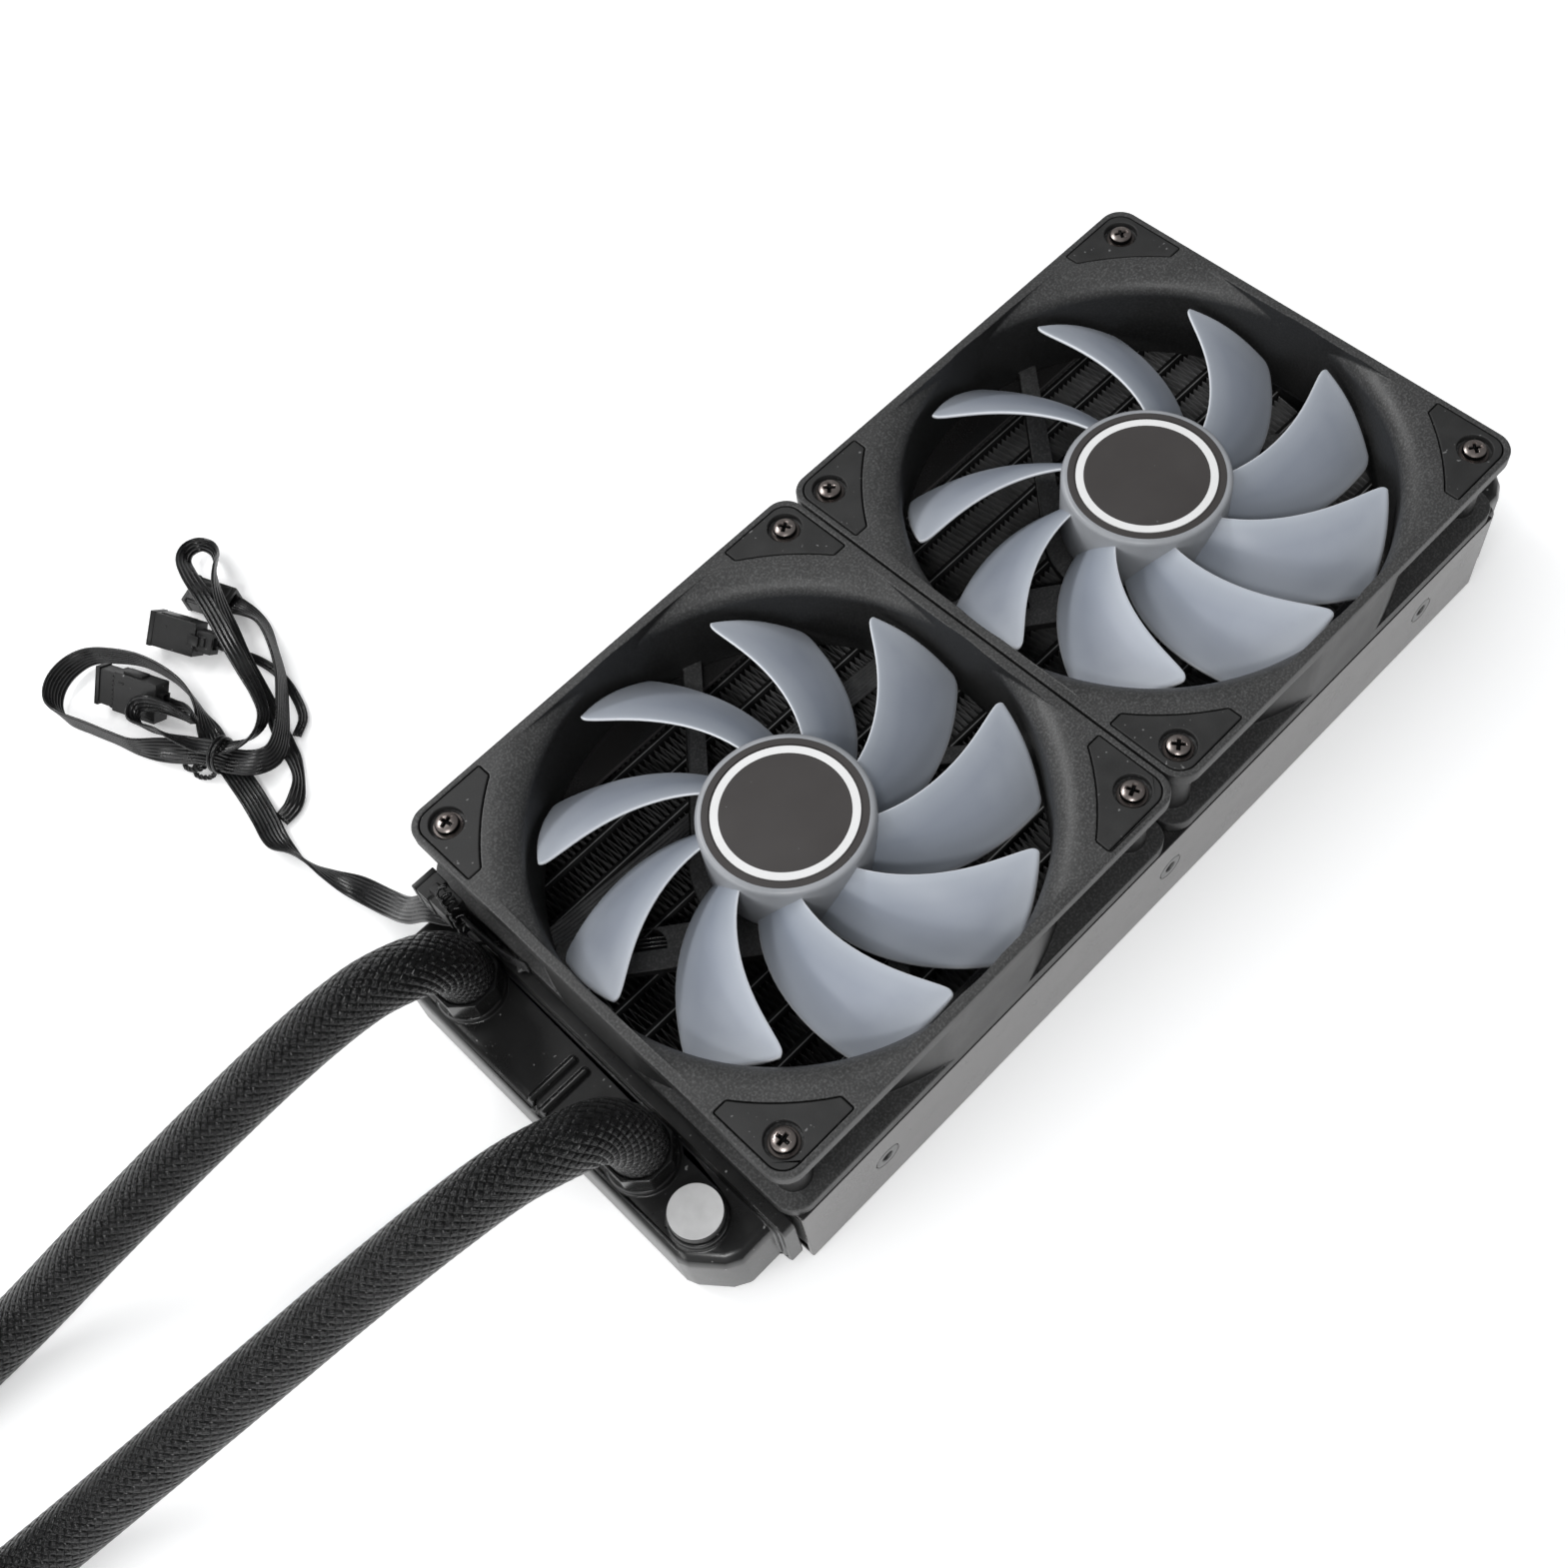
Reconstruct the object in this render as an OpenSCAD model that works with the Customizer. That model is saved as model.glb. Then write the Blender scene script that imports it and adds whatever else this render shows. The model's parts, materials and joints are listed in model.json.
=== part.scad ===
// All in one liquid cooler for a processor: a radiator with two fans, two
// sleeved hoses and a pump head. The origin is the centre of the fan screw
// pattern on the radiator's underside, +X points away from the hose ports
// and +Z points up through the fans.

/* [Radiator core] */
// Length of the core between its two header plates
core_l = 238; // [200:1:300]
// Width of the radiator over its side rails
rad_w = 120; // [118:0.5:126]
// Height of the radiator
rad_t = 27; // [25:0.5:34]
// Height of the tubes and fins
core_t = 18; // [14:0.5:20]
// Number of flat tubes
tube_count = 12; // [8:1:12]
// Distance from one tube to the next
tube_pitch = 8.87; // [7.5:0.01:8.9]
// Thickness of a flat tube
tube_t = 2; // [1.4:0.1:2.6]
// Wall of a flat tube
tube_wall = 0.4; // [0.3:0.05:0.6]
// Length of one fold of the fin strip
fin_pitch = 6; // [5:0.5:10]
// Thickness of the fin strip measured across the core
fin_t = 0.8; // [0.5:0.1:1.2]
// Flat crest of a fold of the fin strip
fin_crest = 0.8; // [0.4:0.1:1.4]
// Sheet thickness of a side rail
rail_t = 1.4; // [1:0.1:2.5]
// Depth of the two flanges of a side rail
rail_flange = 11.5; // [10.5:0.5:14]
// Sheet thickness of a header plate
header_t = 1.5; // [1:0.1:2.5]
// Depth of the rim round a header plate
header_rim = 3.5; // [3:0.5:3.5]
// How far the tubes reach into a tank
tube_reach = 0.8; // [0.5:0.1:0.8]

/* [Tanks] */
// Length of the tank with the hose ports
port_tank_l = 22; // [21:0.5:26]
// Length of the plain tank
return_tank_l = 17.5; // [14:0.5:24]
// Height of the port tank's body
port_body_t = 20.7; // [16:0.1:20.9]
// Width of the port tank's body
port_body_w = 110.4; // [106:0.2:112]
// Height of the plain tank's body
return_body_t = 23; // [20:0.5:24]
// Width of the plain tank's body
return_body_w = 113; // [108:0.5:113.4]
// Wall of a tank
tank_wall = 1.8; // [1.2:0.1:2.5]
// Distance of the hose ports from the port tank's outer face
port_inset = 10; // [9.5:0.5:11]
// Place of the supply port across the radiator
supply_y = 33.5; // [28:0.5:36]
// Place of the return port across the radiator
return_y = -24; // [-24:0.5:-18]
// Height of the round seat under a hose port
seat_h = 1.4; // [0.8:0.1:2]
// Radius of the round seat under a hose port
seat_r = 8.2; // [8.2:0.1:9]
// Place of the wall between the two ports
baffle_y = 1.7; // [-4:0.1:14]
// Distance between the two ribs over that wall
rib_gap = 4; // [3:0.5:8]
// Place of the fill boss across the radiator
fill_y = -42.3; // [-43:0.1:-41]
// Radius of the fill boss
fill_boss_r = 6.7; // [6.5:0.1:7.4]
// Height of the fill boss
fill_boss_h = 2.2; // [1.5:0.1:4]
// Radius of the fill plug's head
plug_r = 6.2; // [5.6:0.1:6.4]
// Height of the fill plug's head
plug_h = 2.4; // [1.5:0.1:4]
// Radius of the fill plug's shank
plug_shank_r = 4; // [3:0.1:4.4]

/* [Hoses] */
// Outer radius of a hose
hose_r = 6.8; // [6:0.1:6.9]
// Corner radius of the hose's bore
hose_bore_r = 5.3; // [5.2:0.05:5.6]
// Outer radius of a hose barb
barb_r = 4.9; // [4.5:0.05:4.95]
// Bore radius of a hose barb
barb_bore_r = 3.4; // [2.5:0.1:3.8]
// Length of a hose barb above its flange
barb_l = 7; // [6:0.5:9]
// Length of a crimped ferrule
ferrule_l = 6.4; // [5:0.2:12]
// Corner radius of the eight-sided ferrule
ferrule_r = 8.2; // [7.8:0.1:8.2]

/* [Fans] */
// Distance from one fan to the next
fan_pitch = 120; // [119.6:0.1:122]
// Width of a fan
fan_w = 119.6; // [118:0.1:119.6]
// Height of a fan
fan_h = 25; // [23:0.5:30]
// Corner radius of a fan
fan_corner_r = 5.5; // [3:0.5:7]
// Thickness of the fan's upper and lower plates
plate_t = 3.6; // [3:0.1:5]
// Distance between the screw holes of a fan
hole_spacing = 105; // [104:0.5:106]
// Radius of the screw holes in the fan
hole_r = 2.2; // [1.8:0.1:2.5]
// Radius of the tubes that the fan screws pass
post_r = 4; // [3.2:0.1:5]
// Inner radius of the duct
duct_r = 57.5; // [56.8:0.1:58.5]
// Outer radius of the duct
duct_outer_r = 60.9; // [60:0.1:62]
// Radius of the bell mouth at the top
mouth_r = 65.2; // [62:0.1:66]
// Depth of the bell mouth
mouth_h = 5; // [3:0.5:7]
// Rim left beside the bell mouth
mouth_rim = 2.6; // [1.5:0.1:4]
// Distance of a corner pad from the fan's edge
pad_inset = 1.8; // [1:0.1:3]
// Length of a corner pad along the fan's edge
pad_l = 19.6; // [16:0.2:22]
// Thickness of a corner pad
pad_t = 1.8; // [1.2:0.1:2.6]
// Radius of the arc on a corner pad's inner side
pad_arc_r = 66.8; // [66.4:0.1:70]
// Radius of the motor base
base_r = 24; // [23:0.5:28]
// Thickness of the motor base
base_t = 2.6; // [2:0.1:4]
// Width of a stator strut
strut_w = 4.6; // [3:0.2:8]
// Width of the strut that carries the cable
cable_strut_w = 10; // [8:0.5:14]
// Angle of the cable strut's outer end
cable_strut_at = 160; // [150:1:170]

/* [Impeller] */
// Number of blades
blade_count = 9; // [5:1:11]
// Radius of the blade tips at the trailing edge
blade_r = 56.4; // [50:0.1:56.6]
// How far the leading corner lies inside that radius
tip_rake = 1.4; // [0:0.1:3]
// Height of the leading edge over the fan's underside
lead_z = 21; // [18:0.1:21.4]
// Height of the trailing edge over the fan's underside
trail_z = 5.8; // [5.2:0.1:10]
// Angle that a blade covers at the hub
root_chord = 32; // [26:1:36]
// Angle that a blade covers at the tip
tip_chord = 25.4; // [18:0.2:30]
// Angle that the leading edge sweeps back from tip to hub
lead_sweep = 30.5; // [10:0.5:40]
// Thickness of a blade at its middle
blade_t = 2.2; // [1.4:0.1:3]
// Thickness of a blade at its edges
blade_edge_t = 1.1; // [0.6:0.1:1.4]
// Radius of the hub
hub_r = 20; // [19:0.5:22]
// Wall of the hub
hub_wall = 1.4; // [1:0.1:2]
// How far the hub lies under the top of the fan
hub_drop = 2.2; // [1.2:0.1:4]
// Angle of the first blade's tip on the fan at the port end
blade_start_a = 25.4; // [0:0.1:40]
// Angle of the first blade's tip on the fan at the far end
blade_start_b = 30.3; // [0:0.1:40]
// Radius of the dark disc on the hub
disc_r = 18.4; // [16:0.1:18.5]
// Outer radius of the white ring
ring_r = 16.9; // [14:0.1:17.5]
// Width of the white ring
ring_w = 2.2; // [1:0.1:3]

/* [Motor] */
// Radius of the motor shaft
shaft_r = 1.5; // [1.2:0.1:2]
// Outer radius of the bearing
bearing_r = 4; // [3.2:0.1:4.5]
// Outer radius of the tube that holds the bearing
bearing_tube_r = 6; // [5.4:0.1:7]
// Wall of the steel yoke
yoke_t = 1.2; // [0.8:0.1:1.5]
// Thickness of the ring magnet
magnet_t = 1.6; // [1:0.1:2.2]
// Radial gap between the stator and the magnet
air_gap = 0.6; // [0.4:0.1:1]

/* [Screws] */
// Radius of a fan screw's head
screw_head_r = 2.8; // [2.4:0.1:3.2]
// Height of a fan screw's head
screw_head_h = 1.9; // [1.4:0.1:2.4]
// Radius of a fan screw's shank
screw_r = 1.5; // [1.3:0.05:1.5]
// Radius of a washer
washer_r = 3.45; // [3.2:0.05:3.9]
// Thickness of a washer
washer_t = 0.5; // [0.4:0.1:0.8]
// Distance between the bushes along a side rail
bush_pitch = 93.5; // [80:0.5:105]
// Radius of a bush in a side rail
bush_r = 3.3; // [2.6:0.1:4]
// Radius of the threaded bore of a bush
bush_bore_r = 1.5; // [1:0.1:1.8]

/* [Leads] */
// Width of the wide flat lead
ribbon_w = 6.6; // [5:0.2:7]
// Thickness of the flat leads
ribbon_t = 0.9; // [0.7:0.1:1]
// Width of the narrow flat lead
lead_w = 4.6; // [3:0.2:5]

/* [Pump head] */
// Radius of the pump body
pump_r = 34; // [32:0.5:40]
// Height of the pump head
pump_h = 44; // [40:1:60]
// Height of the cover over the pump body
cover_h = 10; // [6:0.5:14]
// Height of the hose axes over the table
fitting_z = 20; // [18:0.5:24]
// Distance between the two hose fittings
fitting_gap = 28; // [26:0.5:34]
// Radius of the copper cold plate
plate_r = 29; // [24:0.5:31]
// Height of the cold plate
cold_h = 5; // [4:0.5:8]
// Distance between the bracket's holes
bracket_spacing = 75; // [75:0.5:80]
// Thickness of the bracket
bracket_t = 2; // [1.5:0.1:3]
// Height of the bracket over the table
bracket_z = 7; // [6:0.5:9]

/* [Hidden] */
$fn = 64;

// Fits between pieces that are brazed, pressed or seated
fit = 0.05;
// Visible joint between a fan and a corner pad
pad_gap = 0.25;
// Running gap between a shaft and its bearing
run_gap = 0.04;
// Slack that lets a cut pass clean through a face
cut = 1;

mid_z = rad_t / 2;
core_z = (rad_t - core_t) / 2;
tube_span = (tube_count - 1) * tube_pitch;
tube_l = core_l + 2 * (header_t + tube_reach);
rail_y = rad_w / 2;
header_w = rad_w - 3;
header_h = rad_t - 4.4;
header_r = 3;
skirt_wall = 0.5;
port_x = -(core_l / 2 + port_tank_l);
return_x = core_l / 2 + return_tank_l;
hose_x = port_x + port_inset;
port_top = rad_t - 5.5;
port_mid = port_top - port_body_t / 2;
seat_top = port_top + seat_h;
flange_h = 1.5;
flange_r = 6.8;
barb_top = seat_top + flange_h;
fill_x = hose_x - 0.8;
fill_top = port_top + fill_boss_h;
seal_h = 0.9;
plug_top = fill_top + seal_h + plug_h;
fan_z = rad_t;
half_fan = fan_w / 2;
hole_at = hole_spacing / 2;
hub_top = fan_h - hub_drop;
disc_t = 0.5;
ring_t = 0.3;
cap_t = 2;
yoke_r = hub_r - hub_wall - fit;
yoke_top = hub_top - cap_t - fit;
magnet_r = yoke_r - yoke_t - fit;
stator_r = magnet_r - magnet_t - air_gap;
rotor_floor = base_t + 2.8;
tube_top = base_t + 14.9;
boss_r = 3.2;
seat_z = fan_h - pad_t;
bush_z = 14.5;
pump_x = -520;
pump_y = 32;
fitting_x = pump_x + pump_r + 4;
body_z = bracket_z + bracket_t;
cover_z = pump_h - cover_h;
shaft_top = cover_z - 1.5;

// Centre of each hose from the port tank down to the table and to the pump
supply_route = [
    [hose_x, supply_y, barb_top], [hose_x, supply_y, barb_top + 6.5],
    [-132, 33.6, 37.5], [-135.5, 34, 43], [-142, 35, 47],
    [-151, 37, 47.8], [-168.5, 40.6, 43], [-194.5, 44.9, 33.4],
    [-224, 48.9, 22.2], [-252, 52, 12], [-282, 54, 7.2],
    [-325, 55, 7], [-368, 54.5, 7], [-410, 52, 7.4],
    [-440, 49, 10.5], [-462, 46.8, 16.5],
    [fitting_x + 10, pump_y + fitting_gap / 2, fitting_z],
    [fitting_x, pump_y + fitting_gap / 2, fitting_z]
];
return_route = [
    [hose_x, return_y, barb_top], [hose_x, return_y, barb_top + 6.5],
    [-132, -23.6, 38.5], [-135.7, -22, 45.5], [-142.8, -21, 50.5],
    [-154.8, -18.1, 52.4], [-171, -14.4, 49.2], [-190.5, -9, 40.5],
    [-216.5, -2.7, 29.5], [-243.5, 3.6, 18.8], [-271, 9.4, 9.6],
    [-310, 13.5, 7], [-355, 15, 7], [-405, 15.5, 7.2],
    [-438, 16.2, 10.5], [-462, 17.2, 16.5],
    [fitting_x + 10, pump_y - fitting_gap / 2, fitting_z],
    [fitting_x, pump_y - fitting_gap / 2, fitting_z]
];
// Centre of each flat lead, with its lean from lying flat to standing on edge
main_route = [
    [-121.2, 33, 28.6, 80], [-121.6, 39, 28.8, 80], [-122.4, 46, 28, 60],
    [-125.2, 53, 27.2, 30], [-128.2, 60, 20.8, 25], [-129.2, 69.5, 12, 15],
    [-131.2, 82, 6.2, 20], [-133.8, 92, 4.6, 60], [-136, 101, 4.4, 80],
    [-137, 109.6, 2.8, 30], [-135, 119, 1.6, 0], [-133.4, 127, 1, 0], [-132, 136, 1.9, 0],
    [-130.6, 146, 1.8, 0], [-127.6, 155.3, 3.5, 75], [-126.1, 163, 3.7, 90],
    [-126.4, 171.6, 3.7, 90], [-128.9, 181, 3.7, 90], [-133.2, 188.1, 3.7, 95],
    [-138, 193.1, 3.7, 100], [-143.8, 194.3, 3.7, 115], [-149.3, 192.5, 3.7, 125],
    [-153, 188.2, 3.7, 115], [-153.5, 182.3, 3.7, 95], [-150.8, 174.4, 3.7, 90],
    [-148.1, 166.8, 3.7, 90], [-145.6, 160, 3.7, 80], [-139.8, 151.5, 4, 30],
    [-134.6, 144.4, 4.2, 10], [-131, 136.6, 4.6, 15], [-126.8, 130.8, 5.4, 30],
    [-122.2, 129.6, 5.2, 35], [-117, 133.3, 5, 30], [-111.1, 141.1, 3.2, 25],
    [-105.8, 149.3, 3, 20], [-101.6, 158.8, 3.2, 20], [-99.5, 165.6, 3.3, 20],
    [-99.8, 171.4, 3.3, 20], [-101.3, 177.3, 3.1, 10]
];
speed_route = [
    [-132.4, 115.8, 0.6, 0], [-127.6, 116.4, 0.8, 0], [-122.8, 119.8, 1.9, 25],
    [-119.9, 125.4, 1.9, 25], [-118.2, 131.2, 0.8, 0], [-116.2, 137.6, 1.4, 20],
    [-113.9, 143.3, 2.4, 40], [-111.5, 151.6, 3.6, 50], [-109.3, 160.2, 4.6, 50],
    [-106.6, 168, 6.6, 50], [-104.3, 174.4, 8.8, 60], [-101.6, 180.4, 9.4, 80],
    [-98.6, 185.6, 8.6, 105], [-95.6, 190.7, 5.6, 125], [-93.9, 196.4, 3.4, 125],
    [-95.2, 200.6, 3, 110], [-98.4, 201.4, 3.4, 115], [-101.8, 197.9, 5.4, 135],
    [-104.2, 190.5, 8.2, 155], [-106, 181.5, 10, 168], [-107.9, 172.5, 10.2, 170],
    [-110.4, 162.4, 10, 165], [-112.6, 153.4, 8.8, 150], [-114.8, 145.2, 7.6, 130],
    [-118, 139, 7.2, 105], [-123.8, 136.4, 7.5, 60], [-129.6, 138.6, 7.6, 20],
    [-134.4, 145, 7.6, 10], [-137.4, 150.6, 8.8, 50], [-139.4, 155.8, 8.8, 80],
    [-141, 160.6, 7.8, 75], [-141.4, 164.6, 7.6, 60], [-138.9, 166, 9, 50],
    [-136.2, 162.9, 10.6, 60], [-133.4, 158.3, 9.2, 75], [-131.9, 154.2, 8.4, 88],
    [-131, 151.9, 7.8, 92], [-130, 152.5, 8.1, 92], [-129.8, 155.7, 7.8, 92],
    [-130.9, 158.9, 6.5, 110], [-132.2, 161.4, 6.05, 132], [-133.1, 163.6, 6.05, 132]
];
light_route = [
    [-114.4, 132.6, 0.6, 0], [-109.8, 135.8, 0.6, 0], [-106.9, 143.7, 0.6, 0],
    [-105.9, 151.9, 0.6, 0], [-106.9, 158.6, 0.8, 0], [-109.2, 163.4, 2.2, 0],
    [-112.3, 168.2, 5.1, 20]
];

function unit(v) = v / norm(v);
function xyz(p) = [p[0], p[1], p[2]];
function along(path, i) =
    unit(xyz(path[min(i + 1, len(path) - 1)]) - xyz(path[max(i - 1, 0)]));

// Ring of points of a round hose, held square to the world's Y direction
function hose_ring(path, i, r, sides) =
    let (t = along(path, i),
         side = unit([0, 1, 0] - (t * [0, 1, 0]) * t),
         up = cross(t, side))
    [for (k = [0 : sides - 1])
        xyz(path[i]) + r * (cos(360 * k / sides) * side
                            + sin(360 * k / sides) * up)];

// Ring of points of a flat lead with rounded edges
function flat_ring(path, i, w, t) =
    let (d = along(path, i),
         flat = unit(cross([0, 0, 1], d)),
         up = cross(d, flat),
         lean = path[i][3],
         a = cos(lean) * flat + sin(lean) * up,
         b = cross(d, a),
         x = w / 2,
         y = t / 2,
         q = y * 0.6)
    [for (s = [[x, -q], [x, q], [x - q, y], [q - x, y], [-x, q],
               [-x, -q], [q - x, -y], [x - q, -y]])
        xyz(path[i]) + s[0] * a + s[1] * b];

function ring_sides(rings, sides, at, flip) =
    [for (i = [0 : rings - 2]) for (k = [0 : sides - 1])
        let (a = at + i * sides + k,
             b = at + i * sides + (k + 1) % sides)
        each flip ? [[a, a + sides, b + sides], [a, b + sides, b]]
                  : [[a, b, b + sides], [a, b + sides, a + sides]]];

module round_hose(path, outer, inner, sides) {
    n = len(path);
    skin = [for (i = [0 : n - 1]) each hose_ring(path, i, outer, sides)];
    bore = [for (i = [0 : n - 1]) each hose_ring(path, i, inner, sides)];
    last = (n - 1) * sides;
    all = n * sides;
    near_end = [for (k = [0 : sides - 1])
        [k, (k + 1) % sides, all + (k + 1) % sides, all + k]];
    far_end = [for (k = [0 : sides - 1])
        [last + (k + 1) % sides, last + k,
         all + last + k, all + last + (k + 1) % sides]];
    polyhedron(
        concat(skin, bore),
        concat(ring_sides(n, sides, 0, true),
               ring_sides(n, sides, all, false),
               near_end, far_end));
}

module flat_lead(path, w, t) {
    n = len(path);
    sides = 8;
    skin = [for (i = [0 : n - 1]) each flat_ring(path, i, w, t)];
    near_end = [[for (k = [0 : sides - 1]) k]];
    far_end = [[for (k = [sides - 1 : -1 : 0]) (n - 1) * sides + k]];
    polyhedron(skin, concat(ring_sides(n, sides, 0, true), near_end, far_end));
}

module rounded_rect(w, h, r) {
    square([w - 2 * r, h], center = true);
    square([w, h - 2 * r], center = true);
    for (x = [-1, 1], y = [-1, 1])
        translate([x * (w / 2 - r), y * (h / 2 - r)]) circle(r);
}

// Extrudes a profile drawn across the radiator along its length
module along_x(x0, l) {
    translate([x0, 0, mid_z]) rotate([90, 0, 90]) linear_extrude(l) children();
}

module flat_tube_profile(grow) {
    h = core_t + 2 * grow;
    w = tube_t + 2 * grow;
    square([w, h - w], center = true);
    for (s = [-1, 1]) translate([0, s * (h - w) / 2]) circle(w / 2, $fn = 24);
}

module each_tube() {
    for (i = [0 : tube_count - 1])
        translate([0, i * tube_pitch - tube_span / 2, 0]) children();
}

module coolant_tubes() {
    color([0.07, 0.07, 0.08]) each_tube() along_x(-tube_l / 2, tube_l) difference() {
        flat_tube_profile(0);
        flat_tube_profile(-tube_wall);
    }
}

// Strip folded between two faces that are height apart
module fin_strip(height) {
    folds = floor(core_l / fin_pitch) * 2;
    step = fin_pitch / 2;
    steps = [for (k = [1 : 2 * folds - 2])
        [step * floor(k / 2) + step / 2 + (k % 2 == 0 ? -1 : 1) * fin_crest / 2,
         (floor(k / 2) % 2) * (height - fin_t)]];
    upper = [for (k = [len(steps) - 1 : -1 : 0]) steps[k] + [0, fin_t]];
    translate([-folds * step / 2, 0]) polygon(concat(steps, upper));
}

module cooling_fins() {
    gap = tube_pitch - tube_t;
    edge = tube_span / 2 + tube_t / 2;
    outer = rail_y - rail_t - edge;
    color([0.06, 0.06, 0.07]) translate([0, 0, core_z]) linear_extrude(core_t) {
        for (i = [0 : tube_count - 2])
            translate([0, i * tube_pitch - tube_span / 2 + tube_t / 2])
                fin_strip(gap);
        translate([0, edge]) fin_strip(outer);
        mirror([0, 1]) translate([0, edge]) fin_strip(outer);
    }
}

module each_fan_hole() {
    for (f = [-1, 1], x = [-1, 1])
        translate([f * fan_pitch / 2 + x * hole_at, hole_at, 0]) children();
}

module side_rail() {
    l = core_l - 2;
    color([0.2, 0.2, 0.21]) difference() {
        translate([-l / 2, rail_y - rail_flange, 0]) cube([l, rail_flange, rad_t]);
        translate([-l / 2 - cut, rail_y - rail_flange - cut, rail_t])
            cube([l + 2 * cut, rail_flange + cut - rail_t, rad_t - 2 * rail_t]);
        each_fan_hole() translate([0, 0, -cut]) cylinder(r = screw_r + fit, h = rad_t + 2 * cut);
        for (i = [-1 : 1]) translate([i * bush_pitch, rail_y - rail_t - cut, bush_z])
            rotate([-90, 0, 0]) cylinder(r = bush_r + fit, h = rail_t + 2 * cut);
    }
}

module side_rail_back() { side_rail(); }

module side_rail_front() { mirror([0, 1, 0]) side_rail(); }

module rail_bushes() {
    color([0.3, 0.3, 0.31]) for (m = [0, 1], i = [-1 : 1]) mirror([0, m, 0])
        translate([i * bush_pitch, rail_y - rail_t, bush_z]) rotate([-90, 0, 0])
            difference() {
                cylinder(r = bush_r, h = rail_t);
                translate([0, 0, -cut]) cylinder(r = bush_bore_r, h = rail_t + 2 * cut);
            }
}

// Header plate with its rim, drawn for the far end
module header_plate() {
    color([0.1, 0.1, 0.11]) difference() {
        along_x(core_l / 2, header_rim) rounded_rect(header_w, header_h, header_r);
        along_x(core_l / 2 + header_t, header_rim)
            rounded_rect(header_w - 2 * header_t, header_h - 2 * header_t, header_r - header_t);
        each_tube() along_x(core_l / 2 - cut, header_t + 2 * cut) flat_tube_profile(fit);
    }
}

module header_plate_return() { header_plate(); }

module header_plate_ports() { mirror([1, 0, 0]) header_plate(); }

// Plan of a tank from the header plate out to its end, pulled in by inset
module tank_plan(l, w, inset) {
    x0 = core_l / 2 + header_rim + fit;
    x1 = core_l / 2 + l - inset;
    y = w / 2 - inset;
    half = [[x0, y], [max(x0 + 0.5, x1 - 9.5), y], [x1 - 6, y - 2], [x1 - 1, y - 8], [x1, y - 10.5]];
    back = [for (k = [len(half) - 1 : -1 : 0]) [half[k][0], -half[k][1]]];
    polygon(concat(half, back));
}

// Body of a tank with its long edges rounded in three steps
module tank_form(l, w, h, at, inset) {
    edge = 3.2;
    levels = [[0, edge], [edge * 0.12, edge * 0.5], [edge * 0.5, edge * 0.12], [edge, 0]];
    hull() for (s = [-1, 1], e = levels)
        translate([0, 0, at + s * (h / 2 - inset - e[0])])
            linear_extrude(0.02, center = true) tank_plan(l, w, inset + e[1]);
}

// Tank cap: a skirt inside the header rim and the body, hollow inside
module tank_shell(l, w, h, at) {
    skirt_w = header_w - 2 * header_t - 2 * fit;
    skirt_h = header_h - 2 * header_t - 2 * fit;
    skirt_x = core_l / 2 + header_t + fit;
    skirt_l = header_rim - header_t + 0.1;
    mouth_w = min(skirt_w, w) - 2 * tank_wall;
    low = max(mid_z - skirt_h / 2, at - h / 2) + tank_wall;
    high = min(mid_z + skirt_h / 2, at + h / 2) - tank_wall;
    difference() {
        union() {
            along_x(skirt_x, skirt_l) rounded_rect(skirt_w, skirt_h, header_r - header_t);
            tank_form(l, w, h, at, 0);
        }
        tank_form(l, w, h, at, tank_wall);
        along_x(skirt_x - cut, cut + tube_reach + 0.3)
            rounded_rect(skirt_w - 2 * skirt_wall, skirt_h - 2 * skirt_wall, 0.5);
        translate([0, 0, (low + high) / 2 - mid_z]) along_x(skirt_x, skirt_l + cut)
            rounded_rect(mouth_w, high - low, 1);
    }
}

module port_tank() {
    ports = [supply_y, return_y];
    rib_l = port_tank_l - header_rim - 5;
    color([0.09, 0.09, 0.1]) difference() {
        union() {
            mirror([1, 0, 0])
                tank_shell(port_tank_l, port_body_w, port_body_t, port_mid);
            for (y = ports) translate([hose_x, y, port_top - tank_wall])
                cylinder(r = seat_r, h = tank_wall + seat_h);
            translate([fill_x, fill_y, port_top - tank_wall])
                cylinder(r = fill_boss_r, h = tank_wall + fill_boss_h);
            for (s = [-1, 1]) translate([port_x + 1.6, baffle_y + s * rib_gap / 2, port_top])
                rotate([0, 90, 0]) cylinder(r = 1, h = rib_l, $fn = 24);
            translate([port_x + tank_wall / 2, baffle_y - tank_wall / 2, port_top - port_body_t + 1])
                cube([port_tank_l - header_rim - tank_wall / 2, tank_wall, port_body_t - 2]);
        }
        for (y = ports) translate([hose_x, y, port_top - 2 * tank_wall])
            cylinder(r = barb_bore_r, h = 3 * tank_wall + seat_h);
        translate([fill_x, fill_y, port_top - 2 * tank_wall])
            cylinder(r = plug_shank_r + fit, h = 3 * tank_wall + fill_boss_h);
    }
}

module return_tank() {
    color([0.09, 0.09, 0.1]) tank_shell(return_tank_l, return_body_w, return_body_t, mid_z);
}

module fill_plug() {
    shank = fill_boss_h + tank_wall + 1;
    color([0.12, 0.12, 0.12]) translate([fill_x, fill_y, 0]) {
        translate([0, 0, fill_top + seal_h]) cylinder(r = plug_r, h = plug_h);
        translate([0, 0, fill_top - shank]) cylinder(r = plug_shank_r, h = shank + seal_h + cut);
    }
}

module fill_plug_seal() {
    r = seal_h / 2 - fit / 2;
    color([0.05, 0.05, 0.05]) translate([fill_x, fill_y, fill_top + seal_h / 2])
        rotate_extrude() translate([plug_shank_r + r + fit, 0]) circle(r, $fn = 24);
}

module fill_plug_label() {
    color([0.93, 0.93, 0.92]) translate([fill_x, fill_y, plug_top])
        cylinder(r = plug_r - 0.2, h = 0.2);
}

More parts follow.
